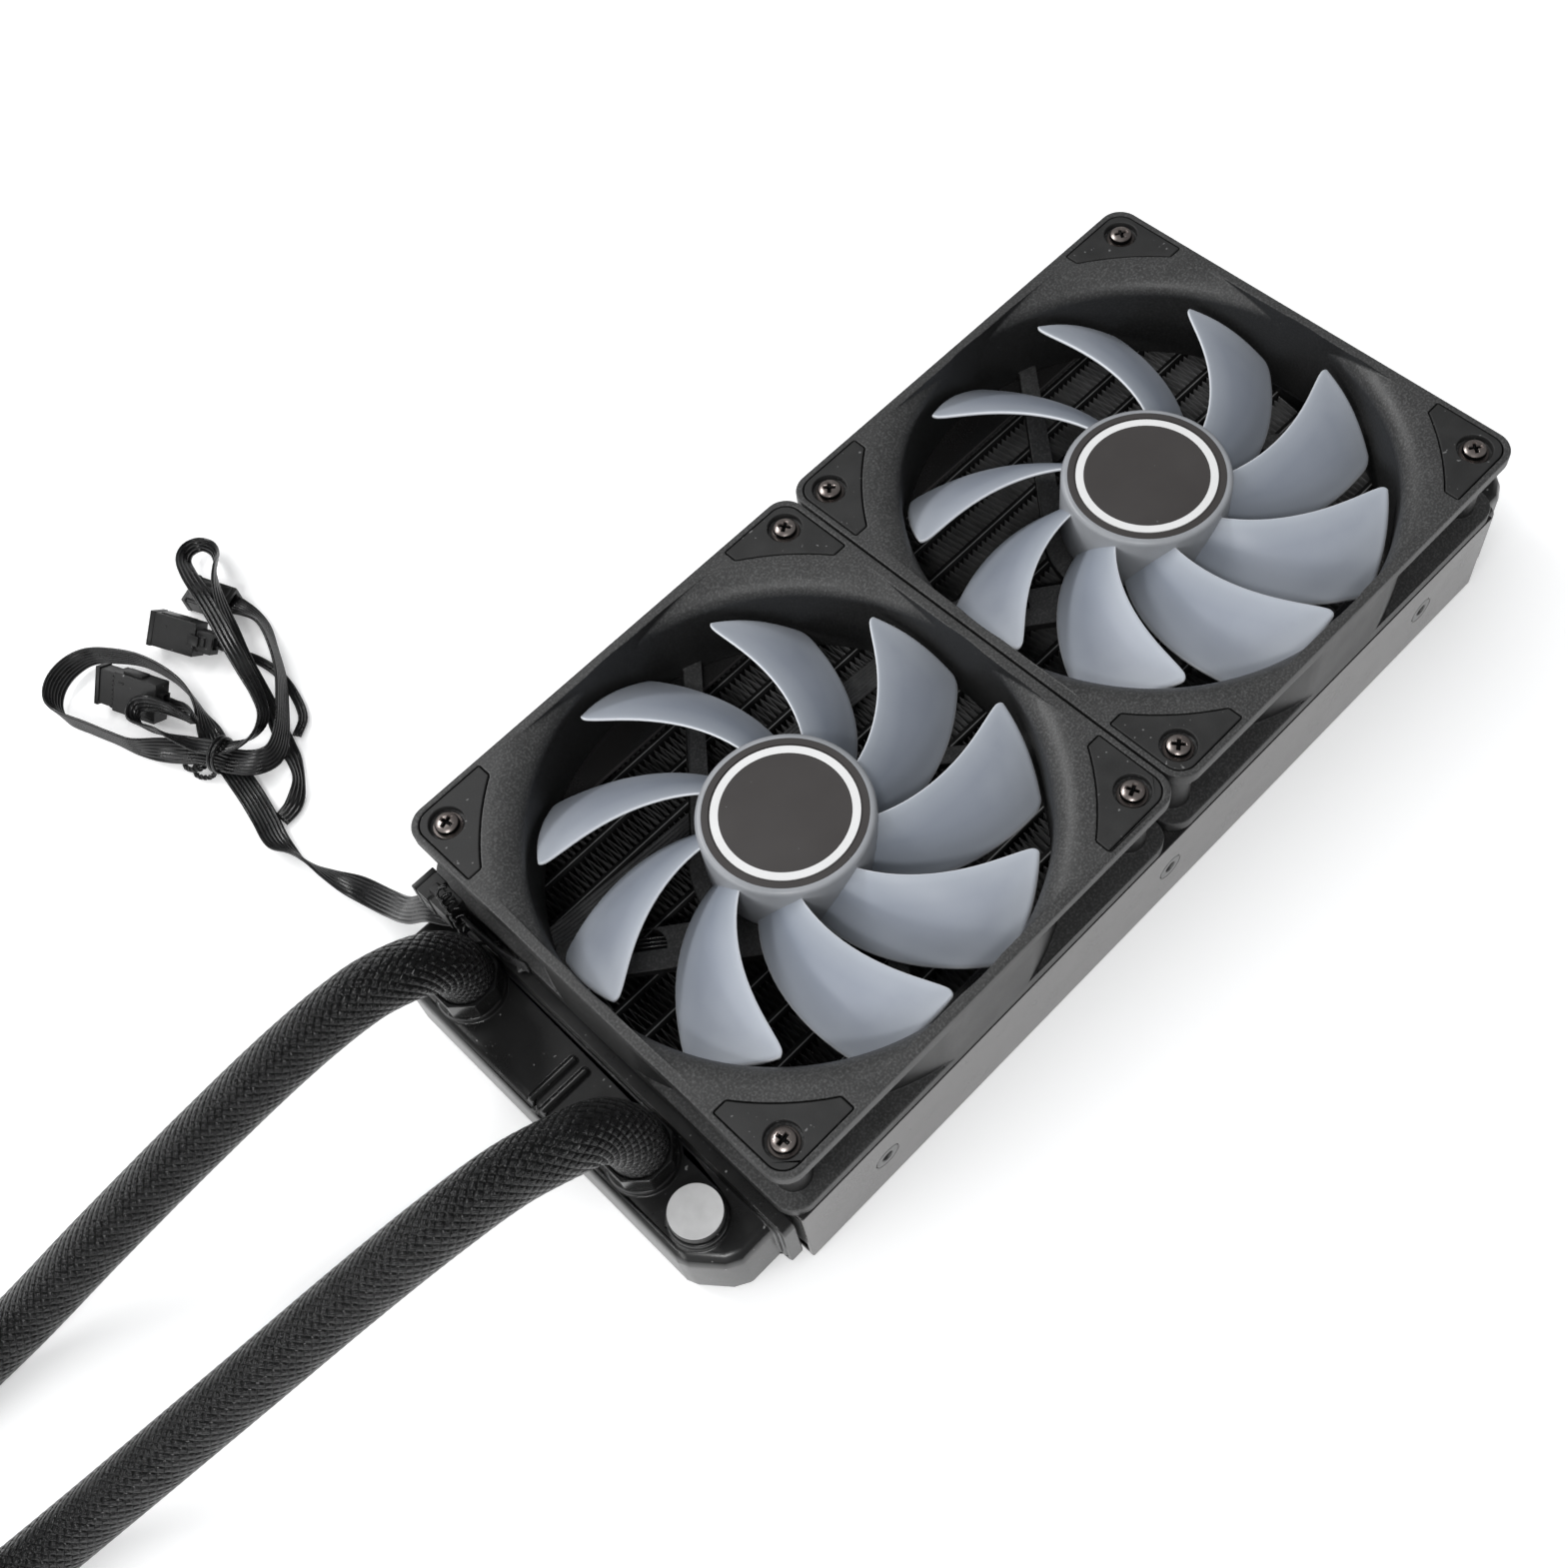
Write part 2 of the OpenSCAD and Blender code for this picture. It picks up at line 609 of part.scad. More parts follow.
// Barbed tube on a round flange, drawn upright from its flange
module hose_barb() {
    ridge = 2.5;
    difference() {
        union() {
            cylinder(r = flange_r, h = flange_h);
            cylinder(r = barb_r - 0.35, h = flange_h + barb_l);
            for (i = [1 : 3]) translate([0, 0, flange_h + barb_l - i * ridge])
                cylinder(r1 = barb_r, r2 = barb_r - 0.35, h = ridge);
        }
        translate([0, 0, -cut]) cylinder(r = barb_bore_r, h = flange_h + barb_l + 2 * cut);
    }
}

module tank_barbs() {
    color([0.15, 0.15, 0.16]) for (y = [supply_y, return_y])
        translate([hose_x, y, seat_top]) hose_barb();
}

// Places a piece on each of the pump's two fittings, facing the radiator
module at_fittings() {
    for (s = [-1, 1]) translate([fitting_x, pump_y + s * fitting_gap / 2, fitting_z])
        rotate([0, 90, 0]) children();
}

module pump_barbs() {
    color([0.15, 0.15, 0.16]) at_fittings() translate([0, 0, -flange_h]) hose_barb();
}

module ferrule() {
    difference() {
        rotate(22.5) cylinder(r = ferrule_r, h = ferrule_l, $fn = 8);
        translate([0, 0, -cut]) cylinder(r = hose_r + 0.15, h = ferrule_l + 2 * cut);
    }
}

module hose_ferrules() {
    color([0.03, 0.03, 0.03]) {
        for (y = [supply_y, return_y]) translate([hose_x, y, seat_top]) ferrule();
        at_fittings() translate([0, 0, -flange_h]) ferrule();
    }
}

module hose_supply() {
    color([0.1, 0.1, 0.1]) round_hose(supply_route, hose_r, hose_bore_r, 12);
}

module hose_return() {
    color([0.1, 0.1, 0.1]) round_hose(return_route, hose_r, hose_bore_r, 12);
}

// Places a piece on a fan, -1 at the port end and 1 at the far end
module at_fan(side) { translate([side * fan_pitch / 2, 0, fan_z]) children(); }

module each_corner() {
    for (x = [-1, 1], y = [-1, 1]) scale([x, y, 1]) children();
}

// Outline of a corner pad, or of its recess when grown
module pad_plan(grow) {
    side = 2 * (half_fan - pad_inset + grow);
    r = fan_corner_r - pad_inset + 0.5 + grow;
    start = half_fan - pad_inset - pad_l - grow;
    difference() {
        intersection() {
            rounded_rect(side, side, r);
            translate([start, start]) square(pad_l * 2);
        }
        circle(pad_arc_r - grow, $fn = 128);
    }
}

// Bell mouth that is flush at the duct and wide at the top
module bell_mouth() {
    steps = 5;
    w = mouth_r - duct_r;
    curve = [for (i = [0 : steps])
        let (a = 90 * i / steps)
        [duct_r + w * (1 - cos(a)), fan_h - mouth_h + mouth_h * sin(a)]];
    intersection() {
        rotate_extrude($fn = 128) polygon(concat(
            [[0, fan_h - mouth_h], [0, fan_h + cut], [mouth_r, fan_h + cut]],
            [for (i = [steps : -1 : 0]) curve[i]]));
        translate([-half_fan + mouth_rim, -half_fan + mouth_rim, fan_h - mouth_h - cut])
            cube([fan_w - 2 * mouth_rim, fan_w - 2 * mouth_rim, mouth_h + 3 * cut]);
    }
}

// Straight strut whose outer edge runs just inside the rim of the motor base
module strut(at, w) {
    r = duct_r + 1;
    inside = 0.4;
    tilt = asin((base_r - w / 2 - inside) / r);
    rotate(at) translate([r, 0, 0]) rotate(180 - tilt)
        translate([0, -w / 2, 0]) cube([r * cos(tilt), w, base_t]);
}

module fan_frame() {
    color([0.2, 0.2, 0.21]) difference() {
        union() {
            for (z = [0, fan_h - plate_t]) translate([0, 0, z]) linear_extrude(plate_t)
                difference() {
                    rounded_rect(fan_w, fan_w, fan_corner_r);
                    circle(duct_r, $fn = 128);
                }
            intersection() {
                difference() {
                    cylinder(r = duct_outer_r, h = fan_h, $fn = 128);
                    translate([0, 0, -cut]) cylinder(r = duct_r, h = fan_h + 2 * cut, $fn = 128);
                }
                translate([-half_fan, -half_fan, 0]) cube([fan_w, fan_w, fan_h]);
            }
            each_corner() translate([hole_at, hole_at, 0]) cylinder(r = post_r, h = fan_h);
            cylinder(r = base_r, h = base_t);
            cylinder(r = bearing_tube_r + 2, h = base_t + 1);
            cylinder(r = bearing_tube_r, h = tube_top);
            for (i = [1 : 3]) strut(cable_strut_at + 90 * i, strut_w);
            strut(cable_strut_at, cable_strut_w);
        }
        bell_mouth();
        translate([0, 0, base_t]) cylinder(r = bearing_r + fit, h = fan_h);
        each_corner() {
            translate([0, 0, seat_z]) linear_extrude(pad_t + cut) pad_plan(pad_gap);
            translate([hole_at, hole_at, -cut]) cylinder(r = hole_r, h = fan_h + 2 * cut);
        }
        rotate(cable_strut_at + 14) translate([44, 4.5, -cut])
            cylinder(r = 2.6, h = base_t + 2 * cut, $fn = 32);
    }
}

module fan_pads() {
    color([0.15, 0.15, 0.16]) each_corner() translate([0, 0, seat_z]) difference() {
        linear_extrude(pad_t) pad_plan(0);
        translate([hole_at, hole_at, -cut]) cylinder(r = washer_r + 0.65, h = pad_t + 2 * cut);
    }
}

module fan_bearing() {
    color([0.6, 0.5, 0.35]) translate([0, 0, base_t]) difference() {
        cylinder(r = bearing_r, h = tube_top - base_t - 0.5);
        translate([0, 0, -cut]) cylinder(r = shaft_r + run_gap, h = fan_h);
    }
}

module fan_board() {
    color([0.1, 0.3, 0.2]) translate([0, 0, base_t + 1]) difference() {
        cylinder(r = stator_r + 1.5, h = 1.2);
        translate([0, 0, -cut]) cylinder(r = bearing_tube_r + fit, h = 1.2 + 2 * cut);
    }
}

// Four-pole stator: steel core with a copper winding round each arm
module fan_stator() {
    z0 = base_t + 2.2;
    h = tube_top - z0 - 1.5;
    arm = 4;
    color([0.55, 0.35, 0.2]) translate([0, 0, z0]) difference() {
        union() {
            cylinder(r = bearing_tube_r + 2, h = h);
            for (i = [0 : 3]) rotate(90 * i) {
                translate([bearing_tube_r, -arm / 2, h * 0.25])
                    cube([stator_r - 1 - bearing_tube_r, arm, h * 0.5]);
                translate([bearing_tube_r + 2.5, -arm, 0])
                    cube([stator_r - bearing_tube_r - 4.5, 2 * arm, h]);
                intersection() {
                    difference() {
                        cylinder(r = stator_r, h = h);
                        translate([0, 0, -cut]) cylinder(r = stator_r - 1.6, h = h + 2 * cut);
                    }
                    translate([0, -stator_r * 0.55, 0]) cube([stator_r, stator_r * 1.1, h]);
                }
            }
        }
        translate([0, 0, -cut]) cylinder(r = bearing_tube_r + fit, h = h + 2 * cut);
    }
}

// Sweep of the leading edge back from the tip, in degrees
function lead_back(r) =
    let (u = (blade_r - 2.4 - r) / (blade_r - 2.4 - hub_r))
    lead_sweep * (0.83 * u + 0.17 * u * u);

// Angle that a blade covers at a radius
function chord(r) =
    root_chord + (tip_chord - root_chord) * (r - hub_r) / (blade_r - hub_r);

// Point of a blade: s runs from leading to trailing edge, v from hub to tip
function blade_point(s, v, face) =
    let (root = hub_r - hub_wall / 2,
         tip = blade_r - tip_rake * (1 - s) * (1 - s),
         r = root + (tip - root) * v,
         corner = 1.6 * pow(v, 14) * pow(1 - s, 6),
         a = -lead_back(r) - corner - (chord(r) - corner) * s,
         z = lead_z - blade_t / 2 - (lead_z - trail_z - blade_t) * (s - 0.08 * sin(180 * s)),
         t = blade_edge_t + (blade_t - blade_edge_t) * sin(180 * s))
    [r * cos(a), r * sin(a), z + face * t / 2];

module blade() {
    cols = 8;
    rows = 5;
    across = cols + 1;
    sheet = across * (rows + 1);
    points = [for (face = [1, -1], j = [0 : rows], i = [0 : cols])
        blade_point(i / cols, j / rows, face)];
    upper = [for (j = [0 : rows - 1], i = [0 : cols - 1])
        let (a = j * across + i)
        each [[a, a + across, a + 1], [a + 1, a + across, a + across + 1]]];
    lower = [for (f = upper) [f[0] + sheet, f[2] + sheet, f[1] + sheet]];
    rim = concat(
        [for (i = [0 : cols]) i],
        [for (j = [1 : rows]) j * across + cols],
        [for (i = [cols - 1 : -1 : 0]) rows * across + i],
        [for (j = [rows - 1 : -1 : 1]) j * across]);
    sides = [for (k = [0 : len(rim) - 1])
        let (a = rim[k], b = rim[(k + 1) % len(rim)])
        each [[a, b, b + sheet], [a, b + sheet, a + sheet]]];
    polyhedron(points, concat(upper, lower, sides));
}

module fan_impeller(start) {
    inner = hub_r - hub_wall;
    color([0.78, 0.79, 0.81]) {
        rotate_extrude($fn = 96) polygon([
            [inner, rotor_floor], [hub_r, rotor_floor], [hub_r, hub_top],
            [disc_r + fit, hub_top], [disc_r + fit, hub_top - disc_t],
            [shaft_r + fit / 2, hub_top - disc_t],
            [shaft_r + fit / 2, tube_top + 0.7], [boss_r, tube_top + 0.7],
            [boss_r, hub_top - cap_t], [inner, hub_top - cap_t]]);
        for (i = [0 : blade_count - 1]) rotate(start + 360 * i / blade_count) blade();
    }
}

module fan_yoke() {
    color([0.5, 0.5, 0.52]) rotate_extrude() polygon([
        [yoke_r - yoke_t, rotor_floor + 0.6], [yoke_r, rotor_floor + 0.6],
        [yoke_r, yoke_top], [boss_r + fit, yoke_top],
        [boss_r + fit, yoke_top - 1], [yoke_r - yoke_t, yoke_top - 1]]);
}

module fan_magnet() {
    color([0.25, 0.25, 0.26]) translate([0, 0, rotor_floor + 0.8]) difference() {
        cylinder(r = magnet_r, h = yoke_top - rotor_floor - 2.2);
        translate([0, 0, -cut]) cylinder(r = magnet_r - magnet_t, h = fan_h);
    }
}

module fan_shaft() {
    z0 = base_t + 0.6;
    color([0.7, 0.7, 0.72]) translate([0, 0, z0])
        cylinder(r = shaft_r, h = hub_top - disc_t - z0 - fit, $fn = 32);
}

module fan_disc() {
    color([0.28, 0.27, 0.27]) translate([0, 0, hub_top - disc_t]) difference() {
        cylinder(r = disc_r, h = disc_t, $fn = 96);
        translate([0, 0, disc_t - ring_t]) difference() {
            cylinder(r = ring_r + fit, h = disc_t, $fn = 96);
            translate([0, 0, -cut]) cylinder(r = ring_r - ring_w - fit, h = fan_h, $fn = 96);
        }
    }
}

module fan_ring() {
    color([0.95, 0.95, 0.95]) translate([0, 0, hub_top - ring_t]) difference() {
        cylinder(r = ring_r, h = ring_t, $fn = 96);
        translate([0, 0, -cut]) cylinder(r = ring_r - ring_w, h = fan_h, $fn = 96);
    }
}

// Places a piece at all eight fan screws
module at_screws() {
    for (f = [-1, 1]) at_fan(f) each_corner() translate([hole_at, hole_at, seat_z]) children();
}

module fan_washers() {
    color([0.6, 0.56, 0.54]) at_screws() difference() {
        cylinder(r = washer_r, h = washer_t, $fn = 32);
        translate([0, 0, -cut]) cylinder(r = screw_r + 0.35, h = washer_t + 2 * cut, $fn = 32);
    }
}

module fan_screws() {
    reach = seat_z + rail_t + 2.4;
    slot_l = 3;
    slot_w = 0.8;
    color([0.6, 0.56, 0.54]) at_screws() difference() {
        union() {
            translate([0, 0, washer_t]) cylinder(r = screw_head_r, h = screw_head_h, $fn = 32);
            translate([0, 0, -reach]) cylinder(r = screw_r, h = reach + washer_t + cut, $fn = 32);
        }
        for (a = [45, 135]) rotate(a)
            translate([-slot_l / 2, -slot_w / 2, washer_t + screw_head_h - 1])
                cube([slot_l, slot_w, 1 + cut]);
    }
}

// Flat cable between the fans and the core, and the first fan's own tail
module fan_link_ribbon() {
    link_z = core_z + core_t + 0.9;
    color([0.06, 0.06, 0.06]) {
        flat_lead([
            [6, 20.5, link_z, 0], [-10, 22.5, link_z, 0], [-60, 25, link_z, 0],
            [-104, 27, link_z, 0], [-112, 27.5, link_z + 1.1, 0],
            [-117.5, 28, link_z + 2.4, 0], [-120.2, 29.3, link_z + 2.8, 0]],
            ribbon_w, ribbon_t);
        flat_lead([
            [-120.4, 22, 33.4, 90], [-122, 28, 33.4, 90], [-122.7, 35, 34.2, 90],
            [-122.9, 38.6, 34.9, 90], [-122.9, 41.6, 35, 90]], lead_w, ribbon_t);
    }
}

// Two housings plugged together beside the fan
module lead_joiner() {
    color([0.07, 0.07, 0.07]) translate([-123.1, 41.8, 32.2]) {
        translate([-2.6, 0, 0.6]) cube([5.2, 6, 7.2]);
        translate([-3, 6, 0]) cube([6, 5, 8.4]);
        translate([-1.2, 2.4, 7.8]) cube([2.4, 5, 1.4]);
    }
}

module main_ribbon() {
    color([0.09, 0.09, 0.09]) flat_lead(main_route, ribbon_w, ribbon_t);
}

module speed_lead() {
    color([0.09, 0.09, 0.09]) flat_lead(speed_route, lead_w, ribbon_t);
}

module light_lead() {
    color([0.09, 0.09, 0.09]) flat_lead(light_route, 2.6, ribbon_t);
}

// Housing with a step, a latch bar and its wire end towards -Y
module plug_housing(w, l, h) {
    latch = w * 0.42;
    difference() {
        union() {
            translate([-w / 2, 0, 0]) cube([w, l, h * 0.82]);
            translate([-w / 2 + 0.7, 1, 0]) cube([w - 1.4, l - 2, h * 0.92]);
            translate([-latch / 2, l * 0.2, 0]) cube([latch, l * 0.7, h]);
        }
        translate([-w / 2 + 1.2, -cut, h * 0.22]) cube([w - 2.4, 3 + cut, h * 0.4]);
    }
}

// Leans a housing back on the table: X runs to its wires, the broad face looks up
module leaning(at, turn, lean) {
    translate(at) rotate(turn) rotate([lean, 0, 0]) children();
}

module speed_plug() {
    l = 13.3;
    color([0.08, 0.08, 0.08]) leaning([-143.6, 174.1, 3.8], -67.6, 48) difference() {
        union() {
            translate([0, 0, -5.5]) cube([l, 11, 5.5]);
            translate([-5.6, 0.6, -5]) cube([6, 9.8, 4.4]);
            translate([-1.2, 0.2, -4.4]) cube([l + 0.6, 1, 3.6]);
            translate([l - 1, 3, -4.4]) cube([2.4, 5.4, 3.2]);
        }
        translate([l, 3.1, -3.7]) cube([2.4, 5, 1.8]);
    }
}

module light_socket() {
    l = 14.1;
    color([0.08, 0.08, 0.08]) leaning([-125, 183.7, 4.4], -65.9, 39) difference() {
        union() {
            translate([0, 0, -5.5]) cube([l, 9.2, 5.5]);
            translate([l - 1, 1.6, -4.7]) cube([5.8, 6, 3.9]);
            translate([l - 1, 3.4, -1.6]) cube([4, 2.4, 1.6]);
        }
        translate([l + 3.8, 3, -3.8]) cube([2, 3.2, 2]);
    }
}

module light_plug() {
    color([0.08, 0.08, 0.08]) translate([-101.4, 177.6, 0.1]) rotate(22) {
        plug_housing(8.4, 12.5, 6);
    }
}

// Wire tie: one turn round the leads and a short twisted tail
module wire_tie() {
    wire = 0.7;
    color([0.04, 0.04, 0.04]) translate([-131.9, 140, 5]) rotate([0, 0, 20]) {
        rotate([90, 0, 0]) rotate_extrude($fn = 32) translate([4.3, 0]) circle(wire, $fn = 16);
        translate([-6.9, -0.6, -3.6]) rotate_extrude($fn = 32)
            translate([2.1, 0]) circle(wire, $fn = 16);
    }
}

module cold_plate() {
    color([0.72, 0.45, 0.3]) translate([pump_x, pump_y, 0]) {
        translate([-22, -22, 0]) cube([44, 44, 3]);
        translate([0, 0, 2]) cylinder(r = plate_r, h = cold_h - 2);
    }
}

module bracket() {
    lug = bracket_spacing / 2;
    arm = 12;
    color([0.35, 0.35, 0.36]) translate([pump_x, pump_y, bracket_z]) difference() {
        union() {
            cylinder(r = pump_r + 3, h = bracket_t);
            for (a = [45 : 90 : 315]) rotate(a)
                translate([0, -arm / 2, 0]) cube([lug * sqrt(2), arm, bracket_t]);
            for (x = [-1, 1], y = [-1, 1]) translate([x * lug, y * lug, 0])
                cylinder(r = arm / 2 + 1, h = bracket_t);
        }
        translate([0, 0, -cut]) cylinder(r = plate_r + 0.2, h = bracket_t + 2 * cut);
        for (x = [-1, 1], y = [-1, 1]) translate([x * lug, y * lug, -cut])
            cylinder(r = 2.3, h = bracket_t + 2 * cut);
    }
}

module bracket_screws() {
    lug = bracket_spacing / 2;
    color([0.6, 0.6, 0.62]) translate([pump_x, pump_y, 0])
        for (x = [-1, 1], y = [-1, 1]) translate([x * lug, y * lug, 0]) {
            translate([0, 0, 1.5]) cylinder(r = 2, h = body_z - 1.5, $fn = 32);
            translate([0, 0, body_z]) cylinder(r = 5.2, h = 9);
            translate([0, 0, body_z + 9]) cylinder(r = 3.6, h = 1.4);
        }
}

// Pump body: a round housing with a chamber for the impeller and its stator
module pump_body() {
    chamber_r = 16;
    stator_hole_r = 20;
    inner_x = stator_hole_r + 3;
    boss_x = fitting_x - flange_h - pump_x;
    color([0.1, 0.1, 0.11]) translate([pump_x, pump_y, 0]) difference() {
        union() {
            translate([0, 0, body_z]) cylinder(r = pump_r, h = cover_z - body_z);
            translate([0, 0, cold_h]) cylinder(r = plate_r, h = body_z - cold_h);
            for (s = [-1, 1]) translate([inner_x, s * fitting_gap / 2, fitting_z])
                rotate([0, 90, 0]) cylinder(r = flange_r + 1, h = boss_x - inner_x);
        }
        translate([0, 0, body_z]) cylinder(r = chamber_r, h = 10);
        translate([0, 0, body_z + 9]) cylinder(r = 10.3, h = shaft_top - body_z - 9);
        translate([0, 0, body_z + 12]) difference() {
            cylinder(r = stator_hole_r, h = cover_z);
            translate([0, 0, -cut]) cylinder(r = 11.5, h = cover_z + 2 * cut);
        }
        for (s = [-1, 1]) translate([inner_x, s * fitting_gap / 2, fitting_z])
            rotate([0, 90, 0]) cylinder(r = barb_bore_r, h = boss_x);
    }
}

module pump_cover() {
    color([0.07, 0.07, 0.08]) translate([pump_x, pump_y, 0]) difference() {
        rotate_extrude($fn = 96) polygon([
            [0, cover_z], [pump_r + 0.8, cover_z], [pump_r + 0.8, pump_h - 2.5],
            [pump_r, pump_h - 0.8], [pump_r - 1.8, pump_h], [0, pump_h]]);
        translate([0, 0, cover_z - cut]) cylinder(r = pump_r - 2, h = cover_h - 2.5 + cut);
    }
}

// Pump impeller: six straight vanes under a disc, on a hollow magnet rotor
module pump_impeller() {
    color([0.85, 0.85, 0.83]) translate([pump_x, pump_y, body_z + 1]) difference() {
        union() {
            for (a = [0 : 60 : 300]) rotate(a) translate([4, -0.6, 0]) cube([9.5, 1.2, 5]);
            translate([0, 0, 5]) cylinder(r = 14, h = 1.5);
            cylinder(r = 4.5, h = 6);
            translate([0, 0, 6.5]) cylinder(r = 9.5, h = cover_z - body_z - 10);
        }
        translate([0, 0, -cut]) cylinder(r = shaft_r + run_gap, h = pump_h);
    }
}

module pump_shaft() {
    color([0.7, 0.7, 0.72]) translate([pump_x, pump_y, body_z])
        cylinder(r = shaft_r, h = shaft_top - body_z, $fn = 32);
}

module pump_stator() {
    color([0.55, 0.35, 0.2]) translate([pump_x, pump_y, body_z + 12]) difference() {
        cylinder(r = 20 - fit, h = cover_z - body_z - 13);
        translate([0, 0, -cut]) cylinder(r = 11.5 + fit, h = cover_z);
    }
}

coolant_tubes();
cooling_fins();
side_rail_front();
side_rail_back();
header_plate_ports();
header_plate_return();
port_tank();
return_tank();
fill_plug();
fill_plug_seal();
fill_plug_label();
tank_barbs();
rail_bushes();
hose_supply();
hose_return();
hose_ferrules();
at_fan(-1) fan_frame();  // fan_a_frame
at_fan(-1) fan_pads();  // fan_a_pads
at_fan(-1) fan_bearing();  // fan_a_bearing
at_fan(-1) fan_board();  // fan_a_board
at_fan(-1) fan_stator();  // fan_a_stator
at_fan(-1) fan_impeller(blade_start_a);  // fan_a_impeller
at_fan(-1) fan_yoke();  // fan_a_yoke
at_fan(-1) fan_magnet();  // fan_a_magnet
at_fan(-1) fan_shaft();  // fan_a_shaft
at_fan(-1) fan_disc();  // fan_a_disc
at_fan(-1) fan_ring();  // fan_a_ring
at_fan(1) fan_frame();  // fan_b_frame
at_fan(1) fan_pads();  // fan_b_pads
at_fan(1) fan_bearing();  // fan_b_bearing
at_fan(1) fan_board();  // fan_b_board
at_fan(1) fan_stator();  // fan_b_stator
at_fan(1) fan_impeller(blade_start_b);  // fan_b_impeller
at_fan(1) fan_yoke();  // fan_b_yoke
at_fan(1) fan_magnet();  // fan_b_magnet
at_fan(1) fan_shaft();  // fan_b_shaft
at_fan(1) fan_disc();  // fan_b_disc
at_fan(1) fan_ring();  // fan_b_ring
fan_screws();
fan_washers();
fan_link_ribbon();
lead_joiner();
main_ribbon();
speed_lead();
light_lead();
speed_plug();
light_plug();
light_socket();
wire_tie();
cold_plate();
pump_body();
pump_cover();
pump_impeller();
pump_shaft();
pump_stator();
pump_barbs();
bracket();
bracket_screws();
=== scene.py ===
import json
from math import cos, pi, radians, sin, tau

import bmesh
import bpy
import numpy as np
from mathutils import Matrix, Vector
from mathutils.bvhtree import BVHTree

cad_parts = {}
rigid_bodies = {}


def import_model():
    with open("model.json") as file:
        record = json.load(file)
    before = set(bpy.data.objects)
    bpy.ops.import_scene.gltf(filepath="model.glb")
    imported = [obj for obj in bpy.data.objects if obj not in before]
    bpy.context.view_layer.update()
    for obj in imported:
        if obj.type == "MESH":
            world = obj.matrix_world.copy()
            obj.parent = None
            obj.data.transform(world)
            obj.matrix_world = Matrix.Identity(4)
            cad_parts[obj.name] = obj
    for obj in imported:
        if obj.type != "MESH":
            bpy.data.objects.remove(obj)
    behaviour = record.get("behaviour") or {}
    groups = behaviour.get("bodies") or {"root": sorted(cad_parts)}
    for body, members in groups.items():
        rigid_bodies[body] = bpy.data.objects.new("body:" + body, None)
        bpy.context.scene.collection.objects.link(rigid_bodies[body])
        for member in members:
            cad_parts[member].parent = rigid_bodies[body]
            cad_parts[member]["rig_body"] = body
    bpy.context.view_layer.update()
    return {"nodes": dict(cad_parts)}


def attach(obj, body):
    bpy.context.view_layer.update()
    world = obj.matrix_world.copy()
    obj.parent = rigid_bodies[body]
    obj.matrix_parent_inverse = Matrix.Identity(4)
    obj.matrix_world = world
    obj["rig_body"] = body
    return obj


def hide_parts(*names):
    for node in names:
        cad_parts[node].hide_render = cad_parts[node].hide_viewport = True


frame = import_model()
nodes = frame["nodes"]

# Studio: a camera above the port end, its lens, place and axes fitted to the
# photograph, a white sweep and soft boxes. The low sides of the cooler mirror
# the bright floor, and its top faces a dimmer room.
MM = 0.001
scene = bpy.context.scene
scene.view_settings.view_transform = "Standard"

LENS, SENSOR = 43.81, 36
CAMERA_AT = (-0.171304, -0.163938, 0.411815)
FLOOR_Z = -0.0006
ROOM_MIRRORED, ROOM_MORE = 0.08, 0.34
camera_data = bpy.data.cameras.new("camera")
camera_data.lens = LENS
camera_data.sensor_width = SENSOR
camera_data.clip_end = 20
camera = bpy.data.objects.new("camera", camera_data)
camera_right = Vector((0.70496858, -0.70190286, -0.10174321))
camera_down = Vector((-0.65215714, -0.58514159, -0.4819755))
camera_ahead = Vector((0.27876579, 0.40613014, -0.8702574))
turn = Matrix((camera_right, -camera_down, -camera_ahead)).transposed()
camera.matrix_world = Matrix.Translation(CAMERA_AT) @ turn.to_4x4()
scene.collection.objects.link(camera)
scene.camera = camera


def new_material(name):
    material = bpy.data.materials.new(name)
    material.use_nodes = True
    tree = material.node_tree
    return material, tree, tree.nodes["Principled BSDF"]


def add_math(tree, operation, a, b=0.0, clamp=False):
    node = tree.nodes.new("ShaderNodeMath")
    node.operation = operation
    node.use_clamp = clamp
    for socket, value in zip(node.inputs, (a, b)):
        if isinstance(value, (int, float)):
            socket.default_value = value
        else:
            tree.links.new(value, socket)
    return node.outputs[0]


def ramp(tree, value, stops):
    """Colours by value, each stop a place and a colour."""
    node = tree.nodes.new("ShaderNodeValToRGB")
    elements = node.color_ramp.elements
    while len(elements) < len(stops):
        elements.new(0.5)
    for element, (place, colour) in zip(elements, stops):
        element.position = place
        element.color = (*colour, 1)
    tree.links.new(value, node.inputs[0])
    return node.outputs[0]


def add_noise(tree, place, scale, detail=3.0):
    noise = tree.nodes.new("ShaderNodeTexNoise")
    noise.inputs["Scale"].default_value = scale
    noise.inputs["Detail"].default_value = detail
    tree.links.new(place, noise.inputs["Vector"])
    return noise.outputs["Fac"]


def clouds_of(tree, place, size, detail=3.0):
    """Noise with lumps of about a size in millimetres."""
    return add_noise(tree, place, 1 / (size * MM), detail)


def split_axes(tree, value):
    node = tree.nodes.new("ShaderNodeSeparateXYZ")
    tree.links.new(value, node.inputs[0])
    return node.outputs


def add_bump(tree, shader, height, distance, strength):
    """Relief of a height in millimetres on a shader."""
    bump = tree.nodes.new("ShaderNodeBump")
    bump.inputs["Distance"].default_value = distance * MM
    bump.inputs["Strength"].default_value = strength
    tree.links.new(height, bump.inputs["Height"])
    tree.links.new(bump.outputs[0], shader.inputs["Normal"])


